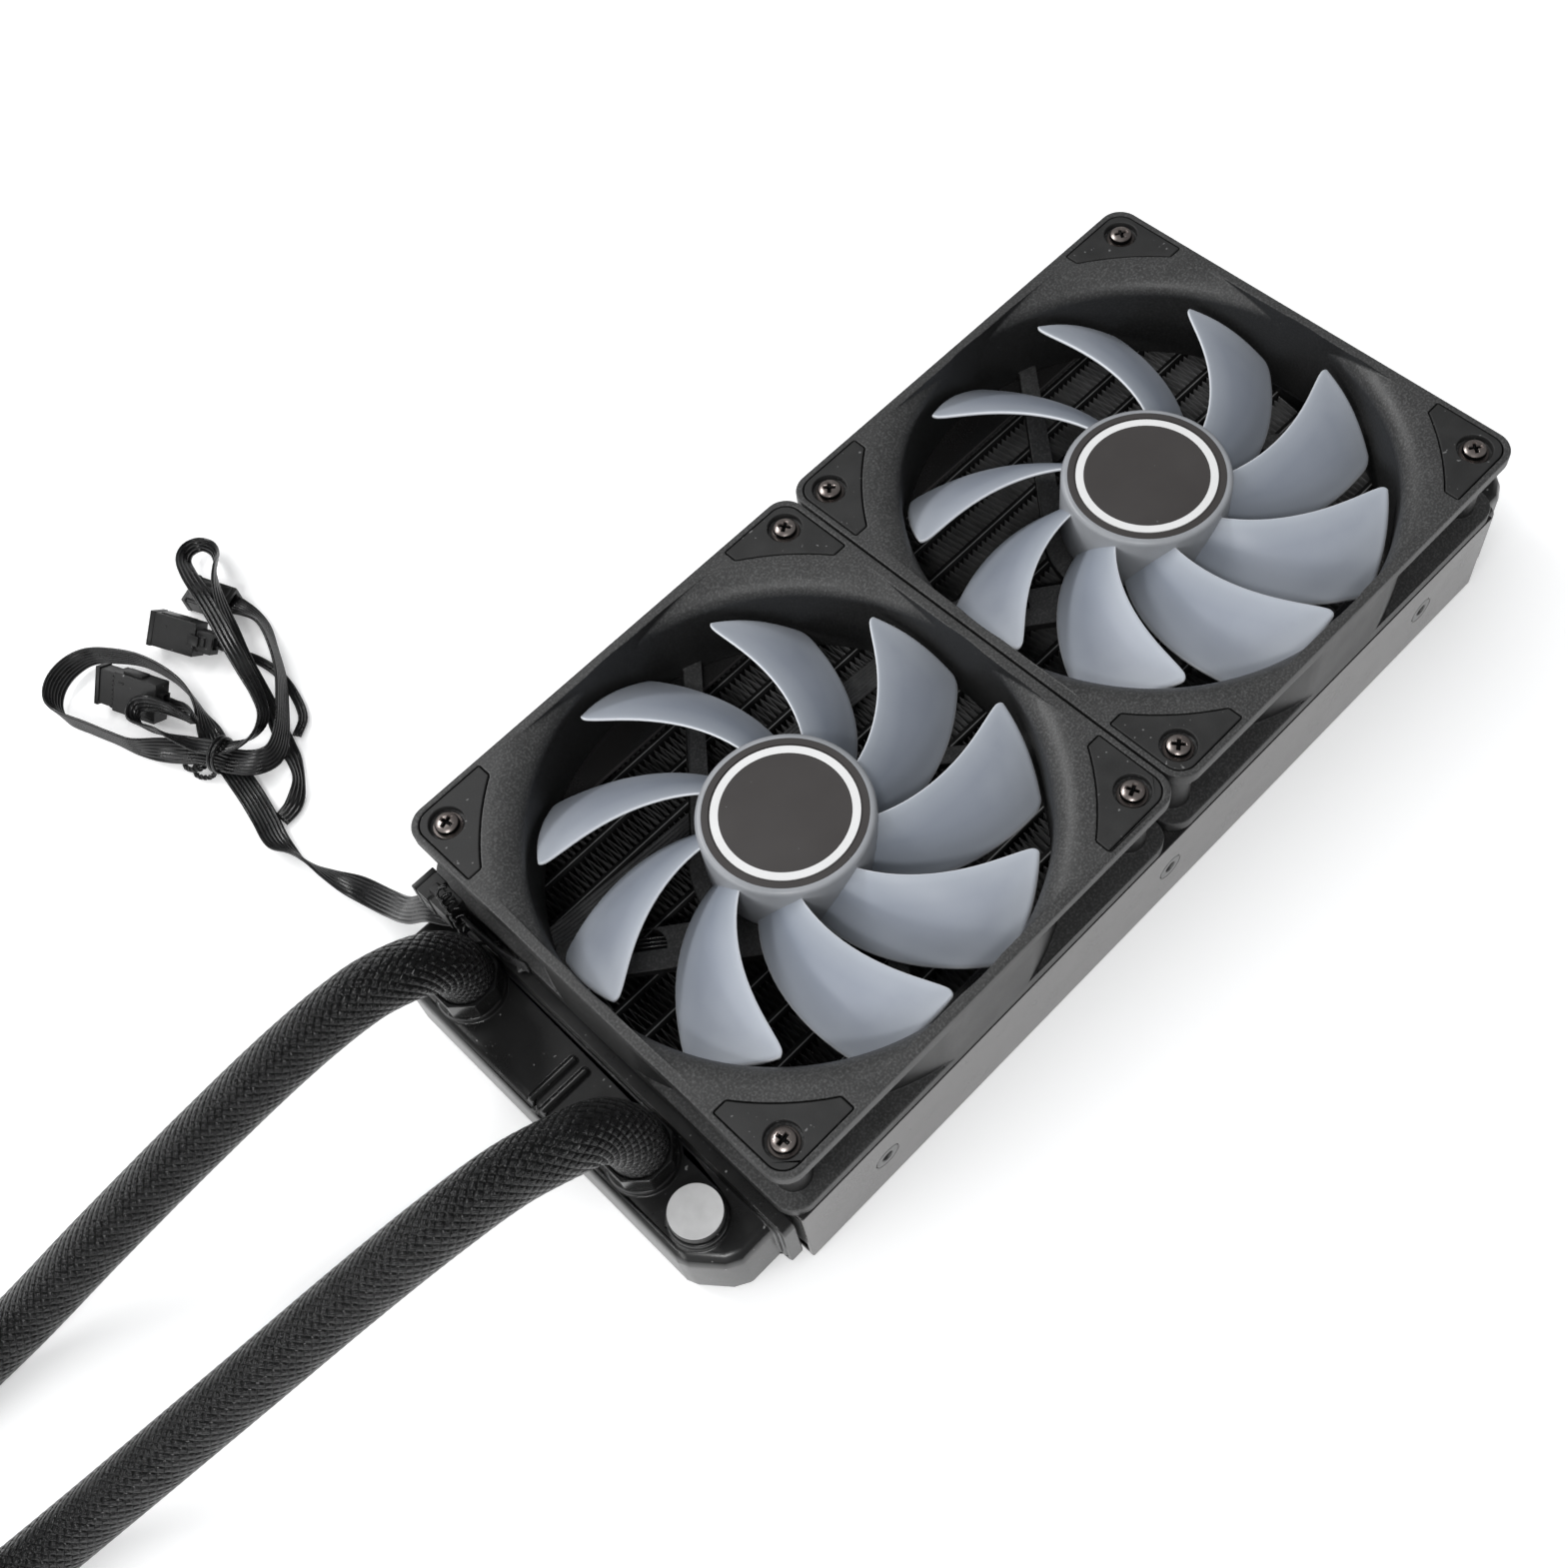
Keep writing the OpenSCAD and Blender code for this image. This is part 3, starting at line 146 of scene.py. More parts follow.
def mix_colour(tree, factor, a, b):
    node = tree.nodes.new("ShaderNodeMix")
    node.data_type = "RGBA"
    tree.links.new(factor, node.inputs[0])
    for socket, value in ((node.inputs[6], a), (node.inputs[7], b)):
        if isinstance(value, tuple):
            socket.default_value = (*value, 1)
        else:
            tree.links.new(value, socket)
    return node.outputs[2]


def grey(value):
    return (value, value, value)


bpy.ops.mesh.primitive_plane_add(size=12, location=(0, 0, FLOOR_Z))
floor_plane = bpy.context.object
floor_plane.name = "studio_floor"
floor_material, _, shader = new_material("studio_floor")
shader.inputs["Base Color"].default_value = (0.92, 0.92, 0.92, 1)
shader.inputs["Roughness"].default_value = 0.85
shader.inputs["Emission Color"].default_value = (1, 1, 1, 1)
shader.inputs["Emission Strength"].default_value = 0.24
shader.inputs["Specular IOR Level"].default_value = 0.1
floor_plane.data.materials.append(floor_material)

world = bpy.data.worlds.new("studio_room")
scene.world = world
world.use_nodes = True
room = world.node_tree.nodes["Background"]
room.inputs["Color"].default_value = (0.96, 0.98, 1, 1)
ray = world.node_tree.nodes.new("ShaderNodeLightPath")
unmirrored = add_math(world.node_tree, "SUBTRACT", 1.0, ray.outputs["Is Glossy Ray"])
world.node_tree.links.new(add_math(world.node_tree, "ADD", ROOM_MIRRORED, add_math(
    world.node_tree, "MULTIPLY", unmirrored, ROOM_MORE)), room.inputs["Strength"])


def soft_box(name, at, aim, width, height, watts, mirrored=True):
    lamp = bpy.data.lights.new(name, "AREA")
    lamp.shape = "RECTANGLE"
    lamp.size = width
    lamp.size_y = height
    lamp.energy = watts
    box = bpy.data.objects.new(name, lamp)
    box.location = at
    box.rotation_euler = (Vector(aim) - Vector(at)).to_track_quat("-Z", "Y").to_euler()
    box.visible_glossy = mirrored
    scene.collection.objects.link(box)


soft_box("box_over", (-0.3, 0.7, 1.8), (0, 0, 0), 2.4, 2.2, 16, False)
soft_box("box_front", (-0.2, -1.4, 1.1), (0, 0, 0), 1.8, 0.5, 4, False)
soft_box("box_left", (-1.7, 0.1, 0.75), (0, 0, 0), 1.4, 0.7, 10, False)
soft_box("box_strip", (-0.35, 1.15, 1.25), (0, 0, 0), 0.9, 0.14, 9)
soft_box("box_key", (-0.9, -0.7, 1.4), (0, 0, 0), 0.3, 0.2, 6)
soft_box("box_edge", (-1.6, 0.1, 0.6), (0, 0, 0), 1.2, 0.12, 4)

# Braided hoses: two rubber coolant hoses in a black nylon sleeve, pushed over
# barbs on the radiator's tank and on the pump head and crimped there.
HOSE_R = 6.8
HOSE_STEP = 0.42
BRAID_AROUND = 20
BRAID_PITCH = 2.2
BRAID_RELIEF = 0.12
BRAID_THREADS = 5
supply_route = [
    (-131, 33.5, 24.4), (-131, 33.5, 30.9), (-132, 33.6, 37.5), (-135.5, 34, 43),
    (-142, 35, 47), (-151, 37, 47.8), (-168.5, 40.6, 43), (-194.5, 44.9, 33.4),
    (-224, 48.9, 22.2), (-252, 52, 12), (-282, 54, 7.2), (-325, 55, 7),
    (-368, 54.5, 7), (-410, 52, 7.4), (-440, 49, 10.5), (-462, 46.8, 16.5),
    (-472, 46, 20), (-482, 46, 20),
]
return_route = [
    (-131, -24, 24.4), (-131, -24, 30.9), (-132, -23.6, 38.5), (-135.7, -22, 45.5),
    (-142.8, -21, 50.5), (-154.8, -18.1, 52.4), (-171, -14.4, 49.2),
    (-190.5, -9, 40.5), (-216.5, -2.7, 29.5), (-243.5, 3.6, 18.8),
    (-271, 9.4, 9.6), (-310, 13.5, 7), (-355, 15, 7), (-405, 15.5, 7.2),
    (-438, 16.2, 10.5), (-462, 17.2, 16.5), (-472, 18, 20), (-482, 18, 20),
]


def unit(vectors):
    return vectors / np.linalg.norm(vectors, axis=-1, keepdims=True)


def smooth_route(points, step, parts=24):
    """Evenly spaced points of a smooth curve through a cord's points."""
    p = np.array(points, float)
    p = np.vstack([2 * p[0] - p[1], p, 2 * p[-1] - p[-2]])
    gap = np.linalg.norm(np.diff(p[:, :3], axis=0), axis=1)
    fine = []
    for i in range(1, len(p) - 2):
        a = (p[i + 1] - p[i - 1]) * gap[i] / (gap[i] + gap[i - 1])
        b = (p[i + 2] - p[i]) * gap[i] / (gap[i + 1] + gap[i])
        for t in np.linspace(0, 1, parts, endpoint=False):
            fine.append((2 * t**3 - 3 * t**2 + 1) * p[i] + (t**3 - 2 * t**2 + t) * a
                        + (3 * t**2 - 2 * t**3) * p[i + 1] + (t**3 - t**2) * b)
    fine = np.array(fine + [p[-2]])
    run = np.concatenate([[0], np.cumsum(np.linalg.norm(np.diff(fine[:, :3], axis=0), axis=1))])
    at = np.linspace(0, run[-1], max(2, int(round(run[-1] / step)) + 1))
    return np.stack([np.interp(at, run, fine[:, k]) for k in range(fine.shape[1])], 1), at


def ring_mesh(name, rings, u, v):
    """A closed tube from rings of points in millimetres, with u round it and v along it."""
    count, sides = rings.shape[:2]
    data = bpy.data.meshes.new(name)
    row = np.arange(sides)
    following = (row + 1) % sides
    base = np.arange(count - 1)[:, None] * sides
    quads = np.stack([base + row, base + following, base + following + sides,
                      base + row + sides], -1)
    ends = [row[::-1].tolist(), (row + (count - 1) * sides).tolist()]
    data.from_pydata((rings.reshape(-1, 3) * MM).tolist(), [], quads.reshape(-1, 4).tolist() + ends)
    layer = data.uv_layers.new(name="weave")
    u_ends = np.append(u, 2 * u[-1] - u[-2])
    shape = (count - 1, sides)
    left, right = (np.broadcast_to(edge, shape) for edge in (u_ends[:-1], u_ends[1:]))
    low, high = (np.broadcast_to(edge[:, None], shape) for edge in (v[:-1], v[1:]))
    flat = np.stack([np.stack([left, right, right, left], -1),
                     np.stack([low, low, high, high], -1)], -1).reshape(-1)
    whole = np.zeros(len(data.loops) * 2)
    whole[:len(flat)] = flat
    layer.data.foreach_set("uv", whole)
    data.polygons.foreach_set("use_smooth", [True] * len(data.polygons))
    piece = bpy.data.objects.new(name, data)
    scene.collection.objects.link(piece)
    return piece


def braid_height(u, v):
    """Height, 0 to 1, of a one-over-one braid: u in strands round, v in strands along."""
    a, b = u + v, u - v
    fa, fb = a % 1, b % 1
    top = (np.floor(a) + np.floor(b)) % 2 < 1
    across = np.where(top, fa, fb)
    along = np.where(top, fb, fa)
    return (1 - (2 * across - 1) ** 4) * (1 - 0.55 * (2 * along - 1) ** 2)


def crown(tree, place, sharp):
    """1 in the middle of a strand and 0 at its sides."""
    far = add_math(tree, "ABSOLUTE", add_math(tree, "SUBTRACT", add_math(
        tree, "MULTIPLY", place, 2.0), 1.0))
    return add_math(tree, "SUBTRACT", 1.0, add_math(tree, "POWER", far, sharp))


sleeve_material, tree, shader = new_material("braided_sleeve")
weave = tree.nodes.new("ShaderNodeTexCoord").outputs["UV"]
strands_round, strands_along, _ = split_axes(tree, weave)
strand_a = add_math(tree, "ADD", strands_round, strands_along)
strand_b = add_math(tree, "SUBTRACT", strands_round, strands_along)
cell = add_math(tree, "ADD", add_math(tree, "FLOOR", strand_a), add_math(tree, "FLOOR", strand_b))
a_on_top = add_math(tree, "LESS_THAN", add_math(tree, "PINGPONG", cell, 1.0), 0.5)
b_on_top = add_math(tree, "SUBTRACT", 1.0, a_on_top)
across, onward = [
    add_math(tree, "ADD",
             add_math(tree, "MULTIPLY", add_math(tree, "FRACT", first), a_on_top),
             add_math(tree, "MULTIPLY", add_math(tree, "FRACT", other), b_on_top))
    for first, other in ((strand_a, strand_b), (strand_b, strand_a))]
threads = add_math(tree, "MULTIPLY", add_math(tree, "SINE", add_math(
    tree, "MULTIPLY", across, BRAID_THREADS * tau)), 0.07)
uneven = add_noise(tree, weave, 1.4)
swell = add_math(tree, "MULTIPLY", crown(tree, across, 3.0), add_math(
    tree, "ADD", 0.35, add_math(tree, "MULTIPLY", crown(tree, onward, 2.0), 0.65)))
# painted shade: the grooves between the strands are darker than the strands' crowns
tree.links.new(ramp(tree, add_math(tree, "ADD", swell, add_math(tree, "MULTIPLY", uneven, 0.2)), [
    (0.15, grey(0.001)), (0.6, grey(0.003)), (1.0, (0.007, 0.007, 0.0072))]),
    shader.inputs["Base Color"])
add_bump(tree, shader, add_math(tree, "ADD", swell, threads), 0.4, 1.0)
shader.inputs["Roughness"].default_value = 0.2
shader.inputs["Specular IOR Level"].default_value = 0.45
shader.inputs["Sheen Weight"].default_value = 0.05
shader.inputs["Sheen Roughness"].default_value = 0.4

for node, route in (("hose_supply", supply_route), ("hose_return", return_route)):
    line, at = smooth_route(route, HOSE_STEP)
    ahead = unit(np.gradient(line, axis=0))
    side = unit(np.array([0, 1, 0]) - ahead * ahead[:, 1:2])
    up = np.cross(ahead, side)
    sides = int(round(tau * HOSE_R / HOSE_STEP / BRAID_AROUND)) * BRAID_AROUND
    u = np.arange(sides) / sides * BRAID_AROUND
    v = at / BRAID_PITCH
    relief = braid_height(u[None, :], v[:, None])
    r = (HOSE_R - BRAID_RELIEF * (1 - relief))[..., None]
    angle = u / BRAID_AROUND * tau
    rings = line[:, None] + r * (np.cos(angle)[None, :, None] * side[:, None]
                                 + np.sin(angle)[None, :, None] * up[:, None])
    hose = ring_mesh(node + "_sleeve", rings, u, v)
    hose.data.materials.append(sleeve_material)
    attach(hose, "cooler")
    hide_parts(node)

# Flat leads: black wires moulded side by side, from under the fans to the
# loops on the table. Each wire shows as its own round rib.
LEAD_T = 0.9
LEAD_STEP = 1.1
main_route = [
    (-121.2, 33, 28.6, 80), (-121.6, 39, 28.8, 70), (-122.6, 46, 28, 25),
    (-125.2, 53, 27.2, -15), (-128.2, 60, 20.8, -26), (-129.2, 69.5, 12, -18),
    (-131.2, 82, 6.2, 0), (-133.8, 92, 4.6, 50), (-136, 101, 4.4, 80),
    (-137, 109.6, 2.8, 30), (-135, 119, 1.6, 0), (-133.4, 127, 1, 0), (-132, 136, 1.9, 0),
    (-130.6, 146, 1.8, 0), (-127.6, 155.3, 3.5, 75), (-126.1, 163, 3.7, 90),
    (-126.4, 171.6, 3.7, 90), (-128.9, 181, 3.7, 90), (-133.2, 188.1, 3.7, 95),
    (-138, 193.1, 3.7, 100), (-143.8, 194.3, 3.7, 115), (-149.3, 192.5, 3.7, 125),
    (-153, 188.2, 3.7, 115), (-153.5, 182.3, 3.7, 95), (-150.8, 174.4, 3.7, 90),
    (-148.1, 166.8, 3.7, 90), (-145.6, 160, 3.7, 80), (-139.8, 151.5, 4, 30),
    (-134.6, 144.4, 4.2, 10), (-131, 136.6, 4.6, 15), (-126.8, 130.8, 5.4, 40),
    (-122.2, 129.6, 5.2, 62), (-117, 133.3, 5.2, 75), (-111.1, 141.1, 4.4, 80),
    (-105.8, 149.3, 3.8, 82), (-101.6, 158.8, 3.7, 80), (-99.5, 165.6, 3.6, 66),
    (-99.8, 171.4, 3.4, 40), (-101.3, 177.3, 3.1, 10),
]
speed_route = [
    (-132.4, 115.8, 0.6, 0), (-127.6, 116.4, 1.3, 25), (-122.8, 119.8, 2.4, 65),
    (-119.9, 125.4, 2, 45), (-118.2, 131.2, 0.7, 0), (-116.2, 137.6, 1.4, 20),
    (-113.9, 143.3, 2.4, 40), (-111.5, 151.6, 3.6, 50), (-109.3, 160.2, 4.6, 50),
    (-106.6, 168, 6.6, 50), (-104.3, 174.4, 8.8, 60), (-101.6, 180.4, 9.4, 80),
    (-98.6, 185.6, 8.6, 105), (-95.6, 190.7, 5.6, 125), (-93.9, 196.4, 3.4, 125),
    (-95.2, 200.6, 3, 110), (-98.4, 201.4, 3.4, 115), (-101.8, 197.9, 5.4, 135),
    (-104.2, 190.5, 8.2, 155), (-106, 181.5, 10, 168), (-107.9, 172.5, 10.2, 170),
    (-110.4, 162.4, 10, 165), (-112.6, 153.4, 8.8, 150), (-114.8, 145.2, 7.6, 130),
    (-118, 139, 7.2, 105), (-123.8, 136.4, 7.5, 60), (-129.6, 138.6, 7.6, 20),
    (-134.4, 145, 7.6, 10), (-137.4, 150.6, 8.8, 50), (-139.4, 155.8, 8.8, 80),
    (-141, 160.6, 7.8, 75), (-141.4, 164.6, 7.6, 60), (-138.9, 166, 9, 50),
    (-136.2, 162.9, 10.6, 60), (-133.4, 158.3, 9.2, 75), (-131.9, 154.2, 8.4, 88),
    (-131, 151.9, 7.8, 92), (-130, 152.5, 8.1, 92), (-129.8, 155.7, 7.8, 92),
    (-130.9, 158.9, 6.5, 110), (-132.2, 161.4, 6.05, 132), (-133.1, 163.6, 6.05, 132),
]
light_route = [
    (-114.4, 132.6, 0.6, 0), (-109.8, 135.8, 0.6, 0), (-106.9, 143.7, 0.6, 0),
    (-105.9, 151.9, 0.6, 0), (-106.9, 158.6, 0.8, 0), (-109.2, 163.4, 2.2, 0),
    (-112.3, 168.2, 5.1, 20),
]
LINK_Z = 23.4
link_route = [
    (6, 20.5, LINK_Z, 0), (-10, 22.5, LINK_Z, 0), (-60, 25, LINK_Z, 0),
    (-104, 27, LINK_Z, 0), (-112, 27.5, LINK_Z + 1.1, 0),
    (-117.5, 28, LINK_Z + 2.4, 0), (-120.2, 29.3, LINK_Z + 2.8, 0),
]
tail_route = [
    (-120.4, 22, 33.4, 90), (-122, 28, 33.4, 90), (-122.7, 35, 34.2, 90),
    (-122.9, 38.6, 34.9, 90), (-122.9, 41.6, 35, 90),
]

lead_material, tree, shader = new_material("lead_insulation")
wear = add_noise(tree, tree.nodes.new("ShaderNodeTexCoord").outputs["UV"], 0.25, 4)
tree.links.new(ramp(tree, wear, [(0.3, (0.005, 0.005, 0.0052)), (0.7, (0.011, 0.011, 0.0114))]),
               shader.inputs["Base Color"])
tree.links.new(ramp(tree, wear, [(0.2, grey(0.22)), (0.8, grey(0.36))]), shader.inputs["Roughness"])
add_bump(tree, shader, wear, 0.004, 0.3)
shader.inputs["Specular IOR Level"].default_value = 0.55

# The link ribbon is the same black insulation as the other leads, given a lighter colour as painted
# highlight on its ribs.
link_highlit_material, tree, shader = new_material("link_insulation_highlit")
wear = add_noise(tree, tree.nodes.new("ShaderNodeTexCoord").outputs["UV"], 0.25)
tree.links.new(ramp(tree, wear, [(0.3, grey(0.05)), (0.7, grey(0.075))]),
               shader.inputs["Base Color"])
tree.links.new(ramp(tree, wear, [(0.3, grey(0.18)), (0.7, grey(0.26))]), shader.inputs["Roughness"])
shader.inputs["Specular IOR Level"].default_value = 0.9


def only(piece):
    """Deselects everything and makes one piece active."""
    bpy.ops.object.select_all(action="DESELECT")
    piece.select_set(True)
    bpy.context.view_layer.objects.active = piece


def finish_modifier(piece, kind, **values):
    only(piece)
    modifier = piece.modifiers.new(kind.lower(), kind)
    for key, value in values.items():
        setattr(modifier, key, value)
    bpy.ops.object.modifier_apply(modifier=modifier.name)


def join(pieces, name):
    bpy.ops.object.select_all(action="DESELECT")
    for piece in pieces:
        piece.select_set(True)
    bpy.context.view_layer.objects.active = pieces[0]
    bpy.ops.object.join()
    pieces[0].name = name
    pieces[0].data.name = name
    return pieces[0]


def round_wire(name, line, radius, sides=10, uv_step=0.4):
    """A round wire along a line of points in millimetres."""
    line = np.array(line, float)
    ahead = unit(np.gradient(line, axis=0))
    side = np.cross(ahead[0], (0.3, 0.5, 0.8))
    angle = np.arange(sides) / sides * tau
    rings = []
    for place, way in zip(line, ahead):
        side = unit(side - way * (side @ way))
        up = np.cross(way, side)
        rings.append(place + radius * (np.cos(angle)[:, None] * side
                                       + np.sin(angle)[:, None] * up))
    return ring_mesh(name, np.array(rings), angle, np.arange(len(line)) * uv_step)


def wire_profile(width, wires, points=5, flank=22):
    """Outline of wires side by side, as pairs across and up, going round once."""
    r = width / wires / 2
    top = []
    for k in range(wires):
        centre = -width / 2 + r * (2 * k + 1)
        for j in range(points):
            a = radians(180 - flank - j * (180 - 2 * flank) / (points - 1))
            top.append((centre + r * cos(a), LEAD_T / 2 * sin(a)))
    under = [(x, -y) for x, y in reversed(top)]
    return np.array([(-width / 2, 0)] + top + [(width / 2, 0)] + under)


def flat_lead(name, route, width, wires, material):
    """A flat lead that leans from lying flat, 0, to standing on edge, 90."""
    line, at = smooth_route(route, LEAD_STEP)
    place, lean = line[:, :3], np.radians(line[:, 3:4])
    ahead = unit(np.gradient(place, axis=0))
    level = unit(np.cross([0, 0, 1], ahead))
    up = np.cross(ahead, level)
    across = np.cos(lean) * level + np.sin(lean) * up
    through = np.cross(ahead, across)
    profile = wire_profile(width, wires)[::-1]
    rings = (place[:, None] + profile[None, :, :1] * across[:, None]
             + profile[None, :, 1:] * through[:, None])
    lead = ring_mesh(name, rings, np.arange(len(profile)) * 0.3, at)
    lead.data.materials.append(material)
    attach(lead, "cooler")
    return lead, place, at[-1]


for node, route, width, wires, far_end, plug in (
        ("main_ribbon", main_route, 6.6, 7, "plug", "light_plug"),
        ("speed_lead", speed_route, 4.6, 4, "plug", "speed_plug"),
        ("light_lead", light_route, 2.6, 3, "connector", "light_socket")):
    lead, place, length = flat_lead(node + "_wires", route, width, wires, lead_material)
    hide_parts(node)

link, _, _ = flat_lead("fan_link_wires", link_route, 6.6, 7, link_highlit_material)
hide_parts("fan_link_ribbon")
flat_lead("fan_tail_wires", tail_route, 4.6, 5, lead_material)

# Wire bends: beside the first fan, the single wires of its cable come out of
# the joiner in a row of short bends.
WIRE_R = 0.42
BENDS = 7
BEND_FIRST, BEND_NEXT = np.array((-122.9, 43.9, 44.2)), np.array((-0.18, -1.08, -1.8))
BEND_RIGHT, BEND_DOWN = 1.7 * np.array(camera_right), 1.5 * np.array(camera_down)
bends = [round_wire("bend", [BEND_FIRST + BEND_NEXT * k - BEND_RIGHT * cos(a) + BEND_DOWN * sin(a)
                             for a in np.linspace(-1.9, 1.5, 16)], WIRE_R)
         for k in range(BENDS)]
drop, _ = smooth_route([(-122.6, 40.2, 34.4), (-124.4, 39.4, 33), (-124.9, 37.2, 31.6),
                        (-122.7, 34.6, 31.4), (-120.5, 32.3, 31.4)], 0.4)
bends.append(round_wire("bend", drop, WIRE_R))
bends = join(bends, "fan_cable_bends")
bends.data.materials.append(lead_material)
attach(bends, "cooler")

# Radiator core: twelve flat aluminium tubes with strips of corrugated foil
# brazed between them, painted black. The tubes' crests and the foil's top edges carry a painted
# highlight.
CORE_LOW, CORE_TOP = 4.5, 22.5
CORE_L = 238.0
TUBES = 12
TUBE_PITCH = 8.87
TUBE_T = 2.0
TUBE_REACH = 2.3
FOLD = 0.85
FOIL_T = 0.14
FOIL_GAP = 0.12
FOIL_EDGE = 58.6
WELD = 0.000002


def copy_at(piece, offset, turn=0.0):
    """A copy of a piece with its own mesh, turned about Z and moved, in millimetres."""
    twin = bpy.data.objects.new(piece.name + "_copy", piece.data.copy())
    scene.collection.objects.link(twin)
    twin.data.transform(Matrix.Translation(Vector(offset) * MM) @ Matrix.Rotation(turn, 4, "Z"))
    return twin


def grained_finish(name, low, high, rough, grain=0.3, depth=0.02, cloud=7.0, dust=0.0,
                   specular=0.5, metallic=0.0, dust_colour=0.2, speckle=0.0, painted_shade_by_facing=None):
    """A cast, moulded or painted surface: cloudy colour, a fine grain, dust on it, and painted
    shade by the way a face points where stops for it are given.
    """
    material, tree, shader = new_material(name)
    place = tree.nodes.new("ShaderNodeTexCoord").outputs["Object"]
    clouds = clouds_of(tree, place, cloud, 5)
    colour = ramp(tree, clouds, [(0.32, low), (0.68, high)])
    fine = clouds_of(tree, place, grain, 2)
    if speckle:
        fleck = ramp(tree, fine, [(0.45, grey(0)), (0.75, grey(speckle))])
        colour = mix_colour(tree, fleck, colour, grey(0.16))
    if painted_shade_by_facing:
        # painted shade: faces are darkened towards near black by their normal's upward part, as the
        # stops give
        upward = split_axes(tree, tree.nodes["Texture Coordinate"].outputs["Normal"])[2]
        colour = mix_colour(tree, ramp(tree, upward, painted_shade_by_facing), colour, grey(0.007))
    if dust:
        specks = ramp(tree, clouds_of(tree, place, 1.1, 1), [
            (0.82 - dust, grey(0)), (0.86 - dust, grey(1))])
        colour = mix_colour(tree, specks, colour, grey(dust_colour))
    tree.links.new(colour, shader.inputs["Base Color"])
    tree.links.new(ramp(tree, add_math(tree, "ADD", add_math(tree, "MULTIPLY", clouds, 0.6),
                                       add_math(tree, "MULTIPLY", fine, 0.4)), [
        (0.3, grey(rough[0])), (0.7, grey(rough[1]))]), shader.inputs["Roughness"])
    add_bump(tree, shader, fine, depth, 0.8)
    shader.inputs["Specular IOR Level"].default_value = specular
    shader.inputs["Metallic"].default_value = metallic
    return material


def crest_highlight_paint(name, dark, light, highlight_colour, band, reach):
    """Black paint with a painted highlight along the topmost edge of a piece, strongest near the
    middle of each tube.
    """
    material, tree, shader = new_material(name)
    place = tree.nodes.new("ShaderNodeTexCoord").outputs["Object"]
    _, y, z = split_axes(tree, place)
    patches = clouds_of(tree, place, 5, 4)
    height = add_math(tree, "DIVIDE", add_math(tree, "SUBTRACT", z, (CORE_TOP - band) * MM),
                      band * MM, clamp=True)
    aside = add_math(tree, "ABSOLUTE", add_math(tree, "SUBTRACT", add_math(
        tree, "PINGPONG", y, TUBE_PITCH * MM), TUBE_PITCH / 2 * MM))
    near = add_math(tree, "SUBTRACT", 1.0, add_math(tree, "DIVIDE", aside, reach * MM), clamp=True)
    # painted highlight: the top band near each tube's middle line is mixed toward the highlight
    # colour
    highlit = add_math(tree, "MULTIPLY", add_math(tree, "MULTIPLY", height, near),
                    add_math(tree, "ADD", patches, 0.5), clamp=True)
    paint = ramp(tree, patches, [(0.3, dark), (0.7, light)])
    tree.links.new(mix_colour(tree, highlit, paint, highlight_colour), shader.inputs["Base Color"])
    tree.links.new(ramp(tree, patches, [(0.2, grey(0.5)), (0.8, grey(0.65))]),
                   shader.inputs["Roughness"])
    shader.inputs["Specular IOR Level"].default_value = 0.25
    return material


def placed_cube(name, centre, size):
    """A cube of a size at a place, in millimetres, its place in its mesh."""
    bpy.ops.object.select_all(action="DESELECT")
    bpy.ops.mesh.primitive_cube_add(size=1)
    piece = bpy.context.object
    piece.name = name
    piece.data.transform(Matrix.Translation(Vector(centre) * MM)
                         @ Matrix.Diagonal((size[0] * MM, size[1] * MM, size[2] * MM, 1)))
    return piece


def weld(piece, gap=WELD):
    """Merges the doubles of a piece and turns its faces outwards."""
    only(piece)
    bpy.ops.object.mode_set(mode="EDIT")
    bpy.ops.mesh.select_all(action="SELECT")
    bpy.ops.mesh.remove_doubles(threshold=gap)
    bpy.ops.mesh.normals_make_consistent(inside=False)
    bpy.ops.object.mode_set(mode="OBJECT")


def smooth(piece, sharp):
    """Smooth shading, but for edges sharper than an angle in degrees."""
    only(piece)
    bpy.ops.object.shade_smooth_by_angle(angle=radians(sharp))


def turned_piece(name, profile, centre, steps=96):
    """A profile of radii and heights, closed or with both ends on the axis, spun upright."""
    data = bpy.data.meshes.new(name)
    points = [(r * MM, 0, z * MM) for r, z in profile]
    chain = [(k, k + 1) for k in range(len(points) - 1)]
    if profile[0][0] > 0:
        chain.append((len(points) - 1, 0))
    data.from_pydata(points, chain, [])
    piece = bpy.data.objects.new(name, data)
    scene.collection.objects.link(piece)
    only(piece)
    bpy.ops.object.mode_set(mode="EDIT")
    bpy.ops.mesh.select_all(action="SELECT")
    bpy.ops.mesh.spin(steps=steps, angle=tau, center=(0, 0, 0), axis=(0, 0, 1))
    bpy.ops.object.mode_set(mode="OBJECT")
    weld(piece)
    smooth(piece, 32)
    piece.data.transform(Matrix.Translation(Vector(centre) * MM))
    return piece


def along(piece, axis):
    """Selects the edges that run along an axis, in edit mode."""
    only(piece)
    bpy.ops.object.mode_set(mode="EDIT")
    bpy.ops.mesh.select_all(action="DESELECT")
    mesh = bmesh.from_edit_mesh(piece.data)
    for edge in mesh.edges:
        run = edge.verts[1].co - edge.verts[0].co
        edge.select_set(abs(run[axis]) > 0.99 * run.length)
    mesh.select_flush_mode()
    bmesh.update_edit_mesh(piece.data)


